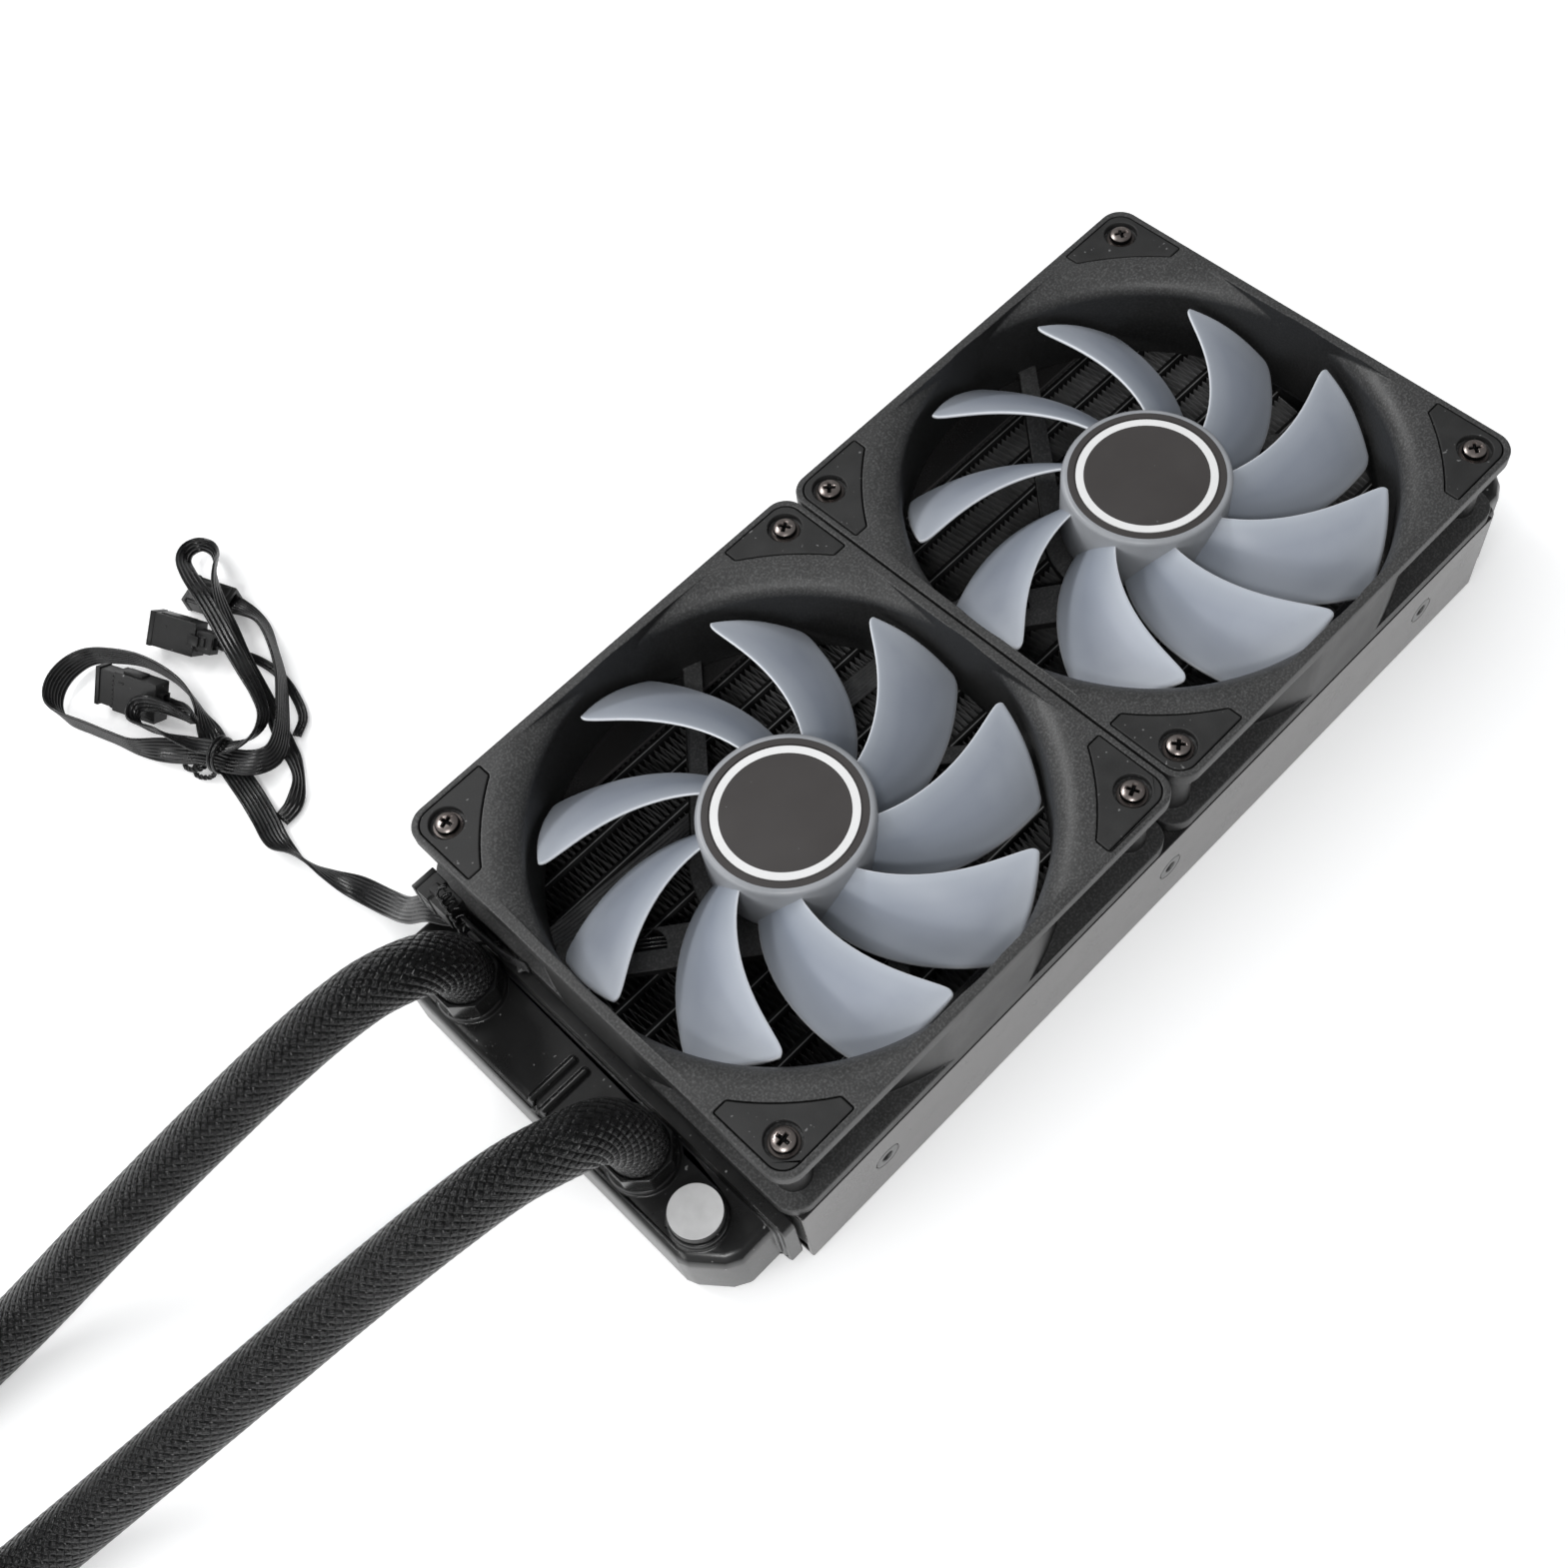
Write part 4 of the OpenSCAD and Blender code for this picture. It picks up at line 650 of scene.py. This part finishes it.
tube = placed_cube("tube", (0, 0, (CORE_LOW + CORE_TOP) / 2),
                   (CORE_L + 2 * TUBE_REACH, TUBE_T, CORE_TOP - CORE_LOW))
along(tube, 0)
bpy.ops.mesh.bevel(offset=0.47 * TUBE_T * MM, segments=7, affect="EDGES")
bpy.ops.object.mode_set(mode="OBJECT")
tube_y = [(k - (TUBES - 1) / 2) * TUBE_PITCH for k in range(TUBES)]
tubes = join([copy_at(tube, (0, y, 0)) for y in tube_y], "coolant_tubes_drawn")
bpy.data.objects.remove(tube)
smooth(tubes, 40)
# the tubes' crests carry a painted highlight
tubes.data.materials.append(crest_highlight_paint("tube_paint", grey(0.005), grey(0.01), grey(0.28),
                                         0.3, 0.24))
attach(tubes, "cooler")
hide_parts("coolant_tubes")


def foil_strip(low, high):
    """Corrugated foil whose folds reach from one Y to another."""
    folds = int(CORE_L / FOLD)
    end, length = -CORE_L / 2 + 0.6, CORE_L - 1.2
    bpy.ops.object.select_all(action="DESELECT")
    bpy.ops.mesh.primitive_grid_add(x_subdivisions=folds, y_subdivisions=2, size=1)
    strip = bpy.context.object
    for vertex in strip.data.vertices:
        k = round((vertex.co.x + 0.5) * folds)
        level = round((vertex.co.y + 0.5) * 2)
        uneven = 0.12 * sin(k * 2.4) + 0.1 * sin(k * 0.37 + low) if k % 2 else 0
        y = low + FOIL_GAP if k % 2 else high - FOIL_GAP
        z = CORE_LOW + 0.2 + level / 2 * (CORE_TOP - CORE_LOW - 0.45)
        vertex.co = Vector((end + k * length / folds + uneven, y, z)) * MM
    finish_modifier(strip, "SOLIDIFY", thickness=FOIL_T * MM, offset=0)
    return strip


walls = [-FOIL_EDGE]
for y in tube_y:
    walls += [y - TUBE_T / 2, y + TUBE_T / 2]
walls.append(FOIL_EDGE)
banks = [foil_strip(low, high) for low, high in zip(walls[::2], walls[1::2])]
fins = join(banks, "fin_banks")
# the foil's top edges carry a painted highlight
fins.data.materials.append(crest_highlight_paint("foil_paint", grey(0.09), grey(0.16), grey(0.3), 0.6, 9))
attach(fins, "cooler")
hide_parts("cooling_fins")

# Side rails, header plates and bushes: bent sheet aluminium that holds the
# core, painted satin. The three steel bushes on each rail are pressed in.
STRAY = 0.45


def dressed(node, finish, edge, steps=2, sharp=30.0):
    """The real piece in place of its solid: the same form with its edges rounded."""
    solid = nodes[node]
    piece = bpy.data.objects.new(node + "_made", solid.data.copy())
    piece.data.materials.clear()
    scene.collection.objects.link(piece)
    only(piece)
    bpy.ops.object.mode_set(mode="EDIT")
    bpy.ops.mesh.select_all(action="SELECT")
    bpy.ops.mesh.remove_doubles(threshold=WELD)
    bpy.ops.mesh.dissolve_limited(angle_limit=radians(0.6))
    bpy.ops.object.mode_set(mode="OBJECT")
    finish_modifier(piece, "BEVEL", width=edge * MM, segments=steps, limit_method="ANGLE",
                    angle_limit=radians(sharp), use_clamp_overlap=False, miter_outer="MITER_ARC")
    # a corner that the rounding threw off the solid, by more than a part of
    # the edge's width, goes back onto it
    surface = BVHTree.FromPolygons([v.co for v in solid.data.vertices],
                                   [p.vertices for p in solid.data.polygons])
    for vertex in piece.data.vertices:
        nearest, _, _, gap = surface.find_nearest(vertex.co)
        if gap > STRAY * edge * MM:
            vertex.co = nearest
    smooth(piece, 38)
    finish_modifier(piece, "WEIGHTED_NORMAL", weight=90, keep_sharp=True)
    piece.data.materials.append(finish)
    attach(piece, solid["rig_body"])
    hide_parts(node)
    return piece


# painted shade: the rails' upward faces are darkened, their outward sides keep the paint's colour
rail_paint = grained_finish("rail_paint", (0.06, 0.056, 0.055), (0.07, 0.066, 0.065),
                            (0.2, 0.3), 0.35, 0.006, 12, specular=0.9, painted_shade_by_facing=[
                                (0.5, grey(0)), (0.8, grey(0.85))])
tank_paint = grained_finish("tank_paint", grey(0.008), grey(0.012), (0.26, 0.36), 0.45, 0.004, 9,
                            dust=0.075, specular=0.8)
bush_steel = grained_finish("bush_steel", grey(0.12), grey(0.2), (0.3, 0.45), 0.2, 0.01, 2,
                            metallic=0.7)
for node in ("side_rail_front", "side_rail_back"):
    dressed(node, rail_paint, 0.4)
for node in ("header_plate_ports", "header_plate_return"):
    dressed(node, tank_paint, 0.45)
dressed("rail_bushes", bush_steel, 0.25)

# End tanks: black moulded tanks crimped and brazed to the header plates. The
# one with the hose ports has a pair of ribs over its inner wall.
dressed("port_tank", tank_paint, 0.55, 3, 24)
dressed("return_tank", tank_paint, 0.55, 3, 24)
dressed("tank_barbs", tank_paint, 0.2)

# Fill plug: a screwed plug on an O-ring, with a blank paper seal on its head.
plug_finish = grained_finish("plug_finish", grey(0.02), grey(0.03), (0.35, 0.5), 0.3, 0.02, 4,
                             dust=0.05)
seal_rubber = grained_finish("seal_rubber", grey(0.01), grey(0.016), (0.5, 0.65), 0.25, 0.02, 3)
label_paper = grained_finish("label_paper", grey(0.5), grey(0.56), (0.55, 0.7), 0.18, 0.012, 3)
dressed("fill_plug", plug_finish, 0.4, 3)
nodes["fill_plug_seal"].data.materials[0] = seal_rubber
dressed("fill_plug_label", label_paper, 0.06)

# Ferrules: eight-sided aluminium sleeves, crimped over each hose end and
# anodised glossy black.
ferrule_gloss = grained_finish("ferrule_gloss", grey(0.008), grey(0.012), (0.14, 0.24), 0.5,
                               0.008, 5, specular=0.75)
dressed("hose_ferrules", ferrule_gloss, 0.32, 3)

# Fan frames: one moulding each of charcoal grained plastic, with a duct, a
# bell mouth cut into the top plate, four struts and the motor base.
# painted shade: the duct's walls and other steep or downward faces are darkened; the top plate
# keeps its colour
frame_plastic = grained_finish("frame_plastic", grey(0.034), grey(0.041), (0.38, 0.5), 0.5,
                               0.05, 10, dust=0.02, dust_colour=0.1, speckle=0.4, painted_shade_by_facing=[
                                   (0.15, grey(0.8)), (0.75, grey(0))])
pad_rubber = grained_finish("pad_rubber", grey(0.021), grey(0.027), (0.5, 0.66), 0.4, 0.03, 6,
                            dust=0.09, dust_colour=0.14)
FAN_X = {"a": -60.0, "b": 60.0}
OPENING_AT, OPENING_TURN = (-37.9, 7.8, 28), -38.5
OPENING_R, OPENING_FLAT = 4.1, -1.2
STRANDS = 4
for side, x in FAN_X.items():
    frame_piece = dressed(f"fan_{side}_frame", frame_plastic, 0.45, 2, 28)
    opening = Matrix.Translation((Vector((x, 0, 0)) + Vector(OPENING_AT)) * MM) @ Matrix.Rotation(
        radians(OPENING_TURN), 4, "Z")
    cutter = turned_piece("cutter", [
        (0, -3), (OPENING_R, -3), (OPENING_R, 4), (0, 4)], (0, 0, 0), 48)
    for vertex in cutter.data.vertices:
        vertex.co.y = max(vertex.co.y, OPENING_FLAT * MM)
    cutter.data.transform(opening)
    finish_modifier(frame_piece, "BOOLEAN", object=cutter, operation="DIFFERENCE", solver="EXACT")
    bpy.data.objects.remove(cutter)
    smooth(frame_piece, 38)
    strands = []
    for k in range(STRANDS):
        way = [opening @ (Vector((s, k - 0.6, 0.3 - 0.02 * s * s)) * MM) / MM
               for s in np.linspace(-5.2, 5.2, 14)]
        strands.append(round_wire("strand", [tuple(v) for v in way], WIRE_R))
    strands = join(strands, f"fan_{side}_strut_wires")
    strands.data.materials.append(lead_material)
    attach(strands, "cooler")
    dressed(f"fan_{side}_pads", pad_rubber, 0.28, 2, 40)

# Impellers: nine swept blades and a hub, moulded in one frosted translucent
# plastic. The thin edges gather light and look almost white.
START = {"a": 25.4, "b": 30.3}
BLADES = 9
HUB_R, TIP_R, TIP_RAKE, TIP_CORNER = 20.0, 56.4, 1.4, 1.9
ROOT_CHORD, TIP_CHORD, SWEEP = 32.0, 25.4, 30.5
LEAD_Z, TRAIL_Z, EDGE_DROP = 21.0, 5.8, 1.1
HALF_EDGE, HALF_MORE, ROLL = 0.55, 0.55, 0.6
ROWS, COLS = 16, 25
FAN_Z = 27.0


def blade_ring(start, centre_x):
    """All blades of one impeller. U is the distance from the nearest free edge."""
    s0 = 0.5 - 0.5 * np.cos(pi * np.arange(COLS) / (COLS - 1))
    v0 = np.concatenate([np.linspace(0, 0.9, ROWS)[:-1],
                         0.9 + 0.1 * np.sin(np.linspace(0, pi / 2, 9))])
    v, s = np.meshgrid(v0, s0, indexing="ij")
    tip_gap = (1 - v) * (TIP_R - HUB_R)
    inset = np.where(tip_gap < TIP_CORNER, TIP_CORNER - np.sqrt(np.maximum(
        TIP_CORNER**2 - (TIP_CORNER - tip_gap)**2, 0)), 0) / 25
    s = inset + s * (1 - 2 * inset)
    root = HUB_R - 0.7
    r = root + (TIP_R - TIP_RAKE * (1 - s)**2 - root) * v
    back = (TIP_R - 2.4 - r) / (TIP_R - 2.4 - HUB_R)
    chord = ROOT_CHORD + (TIP_CHORD - ROOT_CHORD) * (r - HUB_R) / (TIP_R - HUB_R)
    nib = 1.6 * v**14 * (1 - s)**6
    angle = np.radians(-SWEEP * (0.83 * back + 0.17 * back**2) - nib - (chord - nib) * s)
    middle = np.sin(pi * s)
    z = LEAD_Z - EDGE_DROP - (LEAD_Z - TRAIL_Z - 2 * EDGE_DROP) * (s - 0.08 * middle)
    arc = np.radians(chord) * r
    edge = np.minimum(np.minimum((s - inset) * arc, (1 - inset - s) * arc), tip_gap)
    roll = np.clip(edge / ROLL, 0, 1)
    half = (HALF_EDGE + HALF_MORE * middle) * np.sqrt(np.maximum(1 - (1 - roll)**2, 0))
    rows, cols = v.shape
    points, faces, marks = [], [], []
    for face in (1, -1):
        points.append(np.stack([
            r * np.cos(angle), r * np.sin(angle), z + face * half], -1).reshape(-1, 3))
        marks.append(np.stack([edge / 10, v], -1).reshape(-1, 2))
    sheet = rows * cols
    for j in range(rows - 1):
        for i in range(cols - 1):
            a = j * cols + i
            faces.append((a, a + cols, a + cols + 1, a + 1))
            b = a + sheet
            faces.append((b, b + 1, b + cols + 1, b + cols))
    faces += [(i, i + 1, i + 1 + sheet, i + sheet) for i in range(cols - 1)]
    one, marks = np.vstack(points), np.vstack(marks)
    place, sides = [], []
    for k in range(BLADES):
        t = radians(start + 360 * k / BLADES)
        turned = one @ np.array([[cos(t), sin(t), 0], [-sin(t), cos(t), 0], [0, 0, 1]])
        place.append(turned + np.array([centre_x, 0, FAN_Z]))
        sides += [tuple(c + k * len(one) for c in f) for f in faces]
    data = bpy.data.meshes.new("blades")
    data.from_pydata((np.vstack(place) * MM).tolist(), [], sides)
    layer = data.uv_layers.new(name="edge")
    corners = np.empty(len(data.loops), dtype=np.int32)
    data.loops.foreach_get("vertex_index", corners)
    layer.data.foreach_set("uv", np.tile(marks, (BLADES, 1))[corners].reshape(-1))
    piece = bpy.data.objects.new("blades", data)
    scene.collection.objects.link(piece)
    weld(piece, 1.5 * WELD)
    smooth(piece, 60)
    return piece


blade_frost, tree, shader = new_material("blade_frost")
coordinates = tree.nodes.new("ShaderNodeTexCoord")
from_edge, outward, _ = split_axes(tree, coordinates.outputs["UV"])
haze = clouds_of(tree, coordinates.outputs["Object"], 14, 4)
frost = clouds_of(tree, coordinates.outputs["Object"], 0.35, 2)
body_colour = ramp(tree, add_math(tree, "ADD", add_math(tree, "MULTIPLY", outward, 0.55),
                                  add_math(tree, "MULTIPLY", haze, 0.4)), [
    (0.15, (0.20, 0.225, 0.27)), (0.55, (0.255, 0.28, 0.33)), (0.85, (0.33, 0.355, 0.40))])
thin_light = ramp(tree, from_edge, [(0.0, grey(0.5)), (0.25, grey(0.22)), (0.7, grey(0))])
body_colour = mix_colour(tree, thin_light, body_colour, (0.5, 0.53, 0.57))
rim_light = ramp(tree, from_edge, [
    (0.0, grey(1)), (0.018, grey(0.75)), (0.034, grey(0.1)), (0.06, grey(0))])
tree.links.new(mix_colour(tree, rim_light, body_colour, (0.7, 0.72, 0.75)),
               shader.inputs["Base Color"])
tree.links.new(ramp(tree, haze, [(0.3, grey(0.36)), (0.7, grey(0.5))]), shader.inputs["Roughness"])
add_bump(tree, shader, frost, 0.01, 0.6)
shader.inputs["Specular IOR Level"].default_value = 0.55

hub_frost = grained_finish("hub_frost", (0.24, 0.25, 0.265), (0.3, 0.31, 0.33), (0.3, 0.42), 0.35,
                           0.01, 12, specular=0.6)
disc_film = grained_finish("disc_film", (0.046, 0.042, 0.041), (0.052, 0.048, 0.047),
                           (0.34, 0.44), 0.5, 0.006, 20, dust=0.03, dust_colour=0.12)
ring_white = grained_finish("ring_white", grey(0.66), grey(0.7), (0.3, 0.4), 0.6, 0.005, 10)
for side, x in FAN_X.items():
    blades = blade_ring(START[side], x)
    blades.name = f"fan_{side}_blades"
    blades.data.materials.append(blade_frost)
    hub = turned_piece(f"fan_{side}_hub", [
        (18.6, 5.4), (HUB_R - 0.1, 5.4), (HUB_R, 5.6), (HUB_R, 21.6), (19.85, 22.2), (19.5, 22.6),
        (19.0, 22.78), (18.45, 22.8), (18.45, 22.3), (1.55, 22.3), (1.55, 18.2), (3.2, 18.2),
        (3.2, 20.8), (18.6, 20.8)], (x, 0, FAN_Z))
    hub.data.materials.append(hub_frost)
    for piece in (blades, hub):
        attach(piece, f"fan_{side}_rotor")
        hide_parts(f"fan_{side}_impeller")
    nodes[f"fan_{side}_disc"].data.materials[0] = disc_film
    ring = turned_piece(f"fan_{side}_ring_made", [
        (14.65, 22.4), (16.5, 22.4), (16.5, 22.79), (16.44, 22.83), (14.71, 22.83),
        (14.65, 22.79)], (x, 0, FAN_Z))
    ring.data.materials.append(ring_white)
    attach(ring, f"fan_{side}_rotor")
    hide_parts(f"fan_{side}_ring")

# Fan motors: under each hub a steel yoke with a ring magnet turns round a
# wound stator on its circuit board. The shaft runs in a sintered bearing.
steel_drawn = grained_finish("steel_drawn", grey(0.42), grey(0.5), (0.25, 0.38), 0.3, 0.006, 4,
                             metallic=0.9)
magnet_black = grained_finish("magnet_black", grey(0.05), grey(0.07), (0.5, 0.65), 0.25, 0.02, 3)
bearing_bronze = grained_finish("bearing_bronze", (0.36, 0.24, 0.12), (0.42, 0.29, 0.15),
                                (0.35, 0.5), 0.2, 0.01, 2, metallic=0.8)
winding_copper = grained_finish("winding_copper", (0.32, 0.13, 0.05), (0.42, 0.18, 0.07),
                                (0.25, 0.4), 0.3, 0.05, 1.5, metallic=0.7)
board_green = grained_finish("board_green", (0.012, 0.055, 0.03), (0.016, 0.07, 0.038),
                             (0.3, 0.45), 0.6, 0.01, 3)
for side in "ab":
    dressed(f"fan_{side}_yoke", steel_drawn, 0.2)
    dressed(f"fan_{side}_stator", winding_copper, 0.15)
    for part, finish in (("magnet", magnet_black), ("bearing", bearing_bronze),
                         ("board", board_green), ("shaft", steel_drawn)):
        nodes[f"fan_{side}_{part}"].data.materials[0] = finish

# Fan screws: long pan-head screws with a cross recess, in dark nickel plate,
# each on a flat washer at the bottom of a corner pad's hole.
SCREW_Z = 50.2
SCREW_FROM_FAN = 52.5
screw_nickel = grained_finish("screw_nickel", (0.42, 0.36, 0.34), (0.56, 0.5, 0.47), (0.26, 0.36),
                              0.25, 0.004, 4, metallic=0.9)
tree = screw_nickel.node_tree
shader = tree.nodes["Principled BSDF"]
# painted shade: below the top of the head the plate is darkened, fully in the cross recess and on
# the head's side, and in part on the shanks and the washers under the heads
height = split_axes(tree, tree.nodes["Texture Coordinate"].outputs["Object"])[2]
level = add_math(tree, "MULTIPLY", add_math(tree, "SUBTRACT", height, SCREW_Z * MM), 400)
plated = shader.inputs["Base Color"].links[0].from_socket
tree.links.new(mix_colour(tree, ramp(tree, level, [
    (0.3, grey(0.45)), (0.38, grey(1)), (0.7, grey(1)), (0.8, grey(0))]), plated, grey(0.02)),
    shader.inputs["Base Color"])
head = turned_piece("head", [
    (0, 0.5), (2.65, 0.5), (2.82, 0.7), (2.82, 1.3), (2.6, 1.85), (2.1, 2.2), (1.4, 2.38),
    (0, 2.42)], (0, 0, 0), 40)
shank = turned_piece("shank", [
    (0, -26.9), (1.2, -26.9), (1.5, -26.3), (1.5, 0.9), (0, 0.9)], (0, 0, 0), 24)
for turn in (0, 90):
    cutter = placed_cube("cutter", (0, 0, 2.0), (4.1, 1.15, 1.9))
    for vertex in cutter.data.vertices:
        if vertex.co.z < 2 * MM:
            vertex.co.x *= 0.45
            vertex.co.y *= 0.55
    cutter.data.transform(Matrix.Rotation(radians(turn + 45), 4, "Z"))
    finish_modifier(head, "BOOLEAN", object=cutter, operation="DIFFERENCE", solver="EXACT")
    bpy.data.objects.remove(cutter)
finish_modifier(head, "BEVEL", width=0.07 * MM, segments=1, limit_method="ANGLE",
                angle_limit=radians(40), use_clamp_overlap=True)
smooth(head, 32)
washer = turned_piece("washer", [
    (1.9, 0.02), (3.3, 0.02), (3.45, 0.12), (3.45, 0.36), (3.3, 0.48), (1.95, 0.5)], (0, 0, 0), 40)
screws, washers = [], []
for k, (x, y) in enumerate([(fan_x + a * SCREW_FROM_FAN, b * SCREW_FROM_FAN)
                            for fan_x in FAN_X.values() for a in (-1, 1) for b in (-1, 1)]):
    turn = 0.9 + 1.7 * k
    screws += [copy_at(head, (x, y, SCREW_Z), turn), copy_at(shank, (x, y, SCREW_Z), turn)]
    washers.append(copy_at(washer, (x, y, SCREW_Z), turn))
for mould in (head, shank, washer):
    bpy.data.objects.remove(mould)
for group, node in ((screws, "fan_screws"), (washers, "fan_washers")):
    piece = join(group, node + "_made")
    piece.data.materials.append(screw_nickel)
    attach(piece, "cooler")
    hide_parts(node)

# Housings and tie: black moulded housings on the leads' ends, and a twisted
# wire tie that holds the loops together.
housing_black = grained_finish("housing_black", grey(0.010), grey(0.017), (0.34, 0.5), 0.3, 0.02,
                               5, dust=0.05)


def lean_frame(at, turn, lean):
    return (Matrix.Translation(Vector(at) * MM) @ Matrix.Rotation(radians(turn), 4, "Z")
            @ Matrix.Rotation(radians(lean), 4, "X"))


def raised(frame_at, low, high, edge=0.15):
    """A small raised detail of a housing, given by its low and high corners."""
    size = [b - a for a, b in zip(low, high)]
    block = placed_cube("detail", [(a + b) / 2 for a, b in zip(low, high)], size)
    finish_modifier(block, "BEVEL", width=edge * MM, segments=2)
    smooth(block, 38)
    block.data.transform(frame_at)
    block.data.materials.append(housing_black)
    return block


housing_details = {
    "speed_plug": (lean_frame((-143.6, 174.1, 3.8), -67.6, 48), [
        ((2.2, 10.8, -4.4), (8, 11.6, -1)), ((1.5, 8.1, -0.2), (3.3, 8.6, 0.22)),
        ((9.6, 1.2, -0.2), (12.4, 1.7, 0.2)), ((-5.9, 0.2, -5.2), (-4.6, 10.8, -0.2)),
        *[((-0.5, 1.3 + 1.3 * k, -0.8), (0.3, 1.9 + 1.3 * k, 0.1)) for k in range(7)]]),
    "light_socket": (lean_frame((-125, 183.7, 4.4), -65.9, 39), [
        ((-0.2, -0.15, -5.6), (1.3, 9.35, 0.18)), ((12.4, 3.2, -0.2), (15.6, 6, 0.8)),
        ((13, 0.6, -0.2), (14.3, 1.8, 0.25)), ((13, 7.4, -0.2), (14.3, 8.6, 0.25)),
        ((4.6, 5.9, -0.2), (5.3, 6.6, 0.12)), ((2.4, 9, -4.6), (11.6, 9.5, -0.9))]),
    "light_plug": (lean_frame((-101.4, 177.6, 0.1), 22, 0), [
        ((-1.2, 9.7, 5.6), (1.2, 10.6, 6.3)), ((-4.4, 11.3, 0), (4.4, 12.7, 5.2)),
        ((-3.4, 2, 5.3), (-2.6, 8, 5.8)), ((2.6, 2, 5.3), (3.4, 8, 5.8))]),
    "lead_joiner": (lean_frame((-123.1, 41.8, 32.2), 0, 0), [
        ((-3.2, 9.8, -0.1), (3.1, 11.2, 8.6)), ((-3.15, 6.4, 1.2), (-2.8, 9.2, 2.2)),
        ((-3.15, 6.4, 5.6), (-2.8, 9.2, 6.6)), ((-1.6, 1, 8.6), (1.6, 1.9, 9.5))]),
}
for node, (at, blocks) in housing_details.items():
    body = dressed(node, housing_black, 0.28, 2)
    join([body] + [raised(at, low, high) for low, high in blocks], node + "_made")

LOOP_AT, LOOP_R, LOOP_TURN = (-131.9, 140, 5.1), 4.5, radians(20)
TAIL_STEP, TWIST_PITCH = 0.3, 2.4
loop = []
for a in np.linspace(-2.4, 2.4 + tau, 90):
    x, y = LOOP_R * sin(a), 0.672 * (a - pi) / pi
    loop.append((LOOP_AT[0] + x * cos(LOOP_TURN) - y * sin(LOOP_TURN),
                 LOOP_AT[1] + x * sin(LOOP_TURN) + y * cos(LOOP_TURN),
                 LOOP_AT[2] + LOOP_R * cos(a)))
tail_line, _ = smooth_route([
    (-135.2, 138.8, 3.4), (-136.4, 138.8, 2), (-137.8, 139.8, 1.2), (-139.4, 142.4, 1.2),
    (-138.4, 144.8, 1.5), (-136.4, 143.8, 2.4), (-137, 141.8, 3), (-139.2, 143.2, 3),
    (-140, 146.6, 1.7), (-138.6, 149, 1)], TAIL_STEP)
way = unit(np.gradient(tail_line, axis=0))
side = unit(np.cross(way, (0, 0, 1)))
up = np.cross(way, side)
twist = np.arange(len(tail_line))[:, None] * TAIL_STEP * tau / TWIST_PITCH
ties = [round_wire("tie", loop, 0.45)]
for phase in (0, pi):
    ties.append(round_wire("tie", tail_line + 0.4 * (
        np.cos(twist + phase) * side + np.sin(twist + phase) * up), 0.36, 8))
tie = join(ties, "wire_tie_made")
tie.data.materials.append(lead_material)
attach(tie, "cooler")
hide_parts("wire_tie")

# Pump head: a round pump body and cover over a copper cold plate, held by a
# steel bracket with four spring screws. It is finished plainly.
pump_plastic = grained_finish("pump_plastic", grey(0.014), grey(0.02), (0.3, 0.42), 0.35, 0.015, 9,
                              dust=0.03)
copper_plate = grained_finish("copper_plate", (0.55, 0.27, 0.16), (0.66, 0.34, 0.2), (0.22, 0.34),
                              0.3, 0.006, 6, metallic=0.95)
bracket_steel = grained_finish("bracket_steel", grey(0.10), grey(0.14), (0.34, 0.46), 0.3, 0.01, 8,
                               metallic=0.6)
rotor_plastic = grained_finish("rotor_plastic", (0.62, 0.6, 0.55), (0.7, 0.68, 0.63), (0.4, 0.5),
                               0.4, 0.01, 5)
for node, finish, slot, edge in (
        ("pump_body", pump_plastic, "pump_plastic", 0.5),
        ("pump_cover", pump_plastic, "pump_plastic", 0.5),
        ("pump_barbs", tank_paint, "radiator_black", 0.2),
        ("cold_plate", copper_plate, "copper", 0.3),
        ("bracket", bracket_steel, "steel", 0.4),
        ("bracket_screws", steel_drawn, "steel", 0.4),
        ("pump_impeller", rotor_plastic, "rotor_plastic", 0.2),
        ("pump_stator", winding_copper, "winding", 0.3),
        ("pump_shaft", steel_drawn, "steel", 0.15)):
    dressed(node, finish, edge)
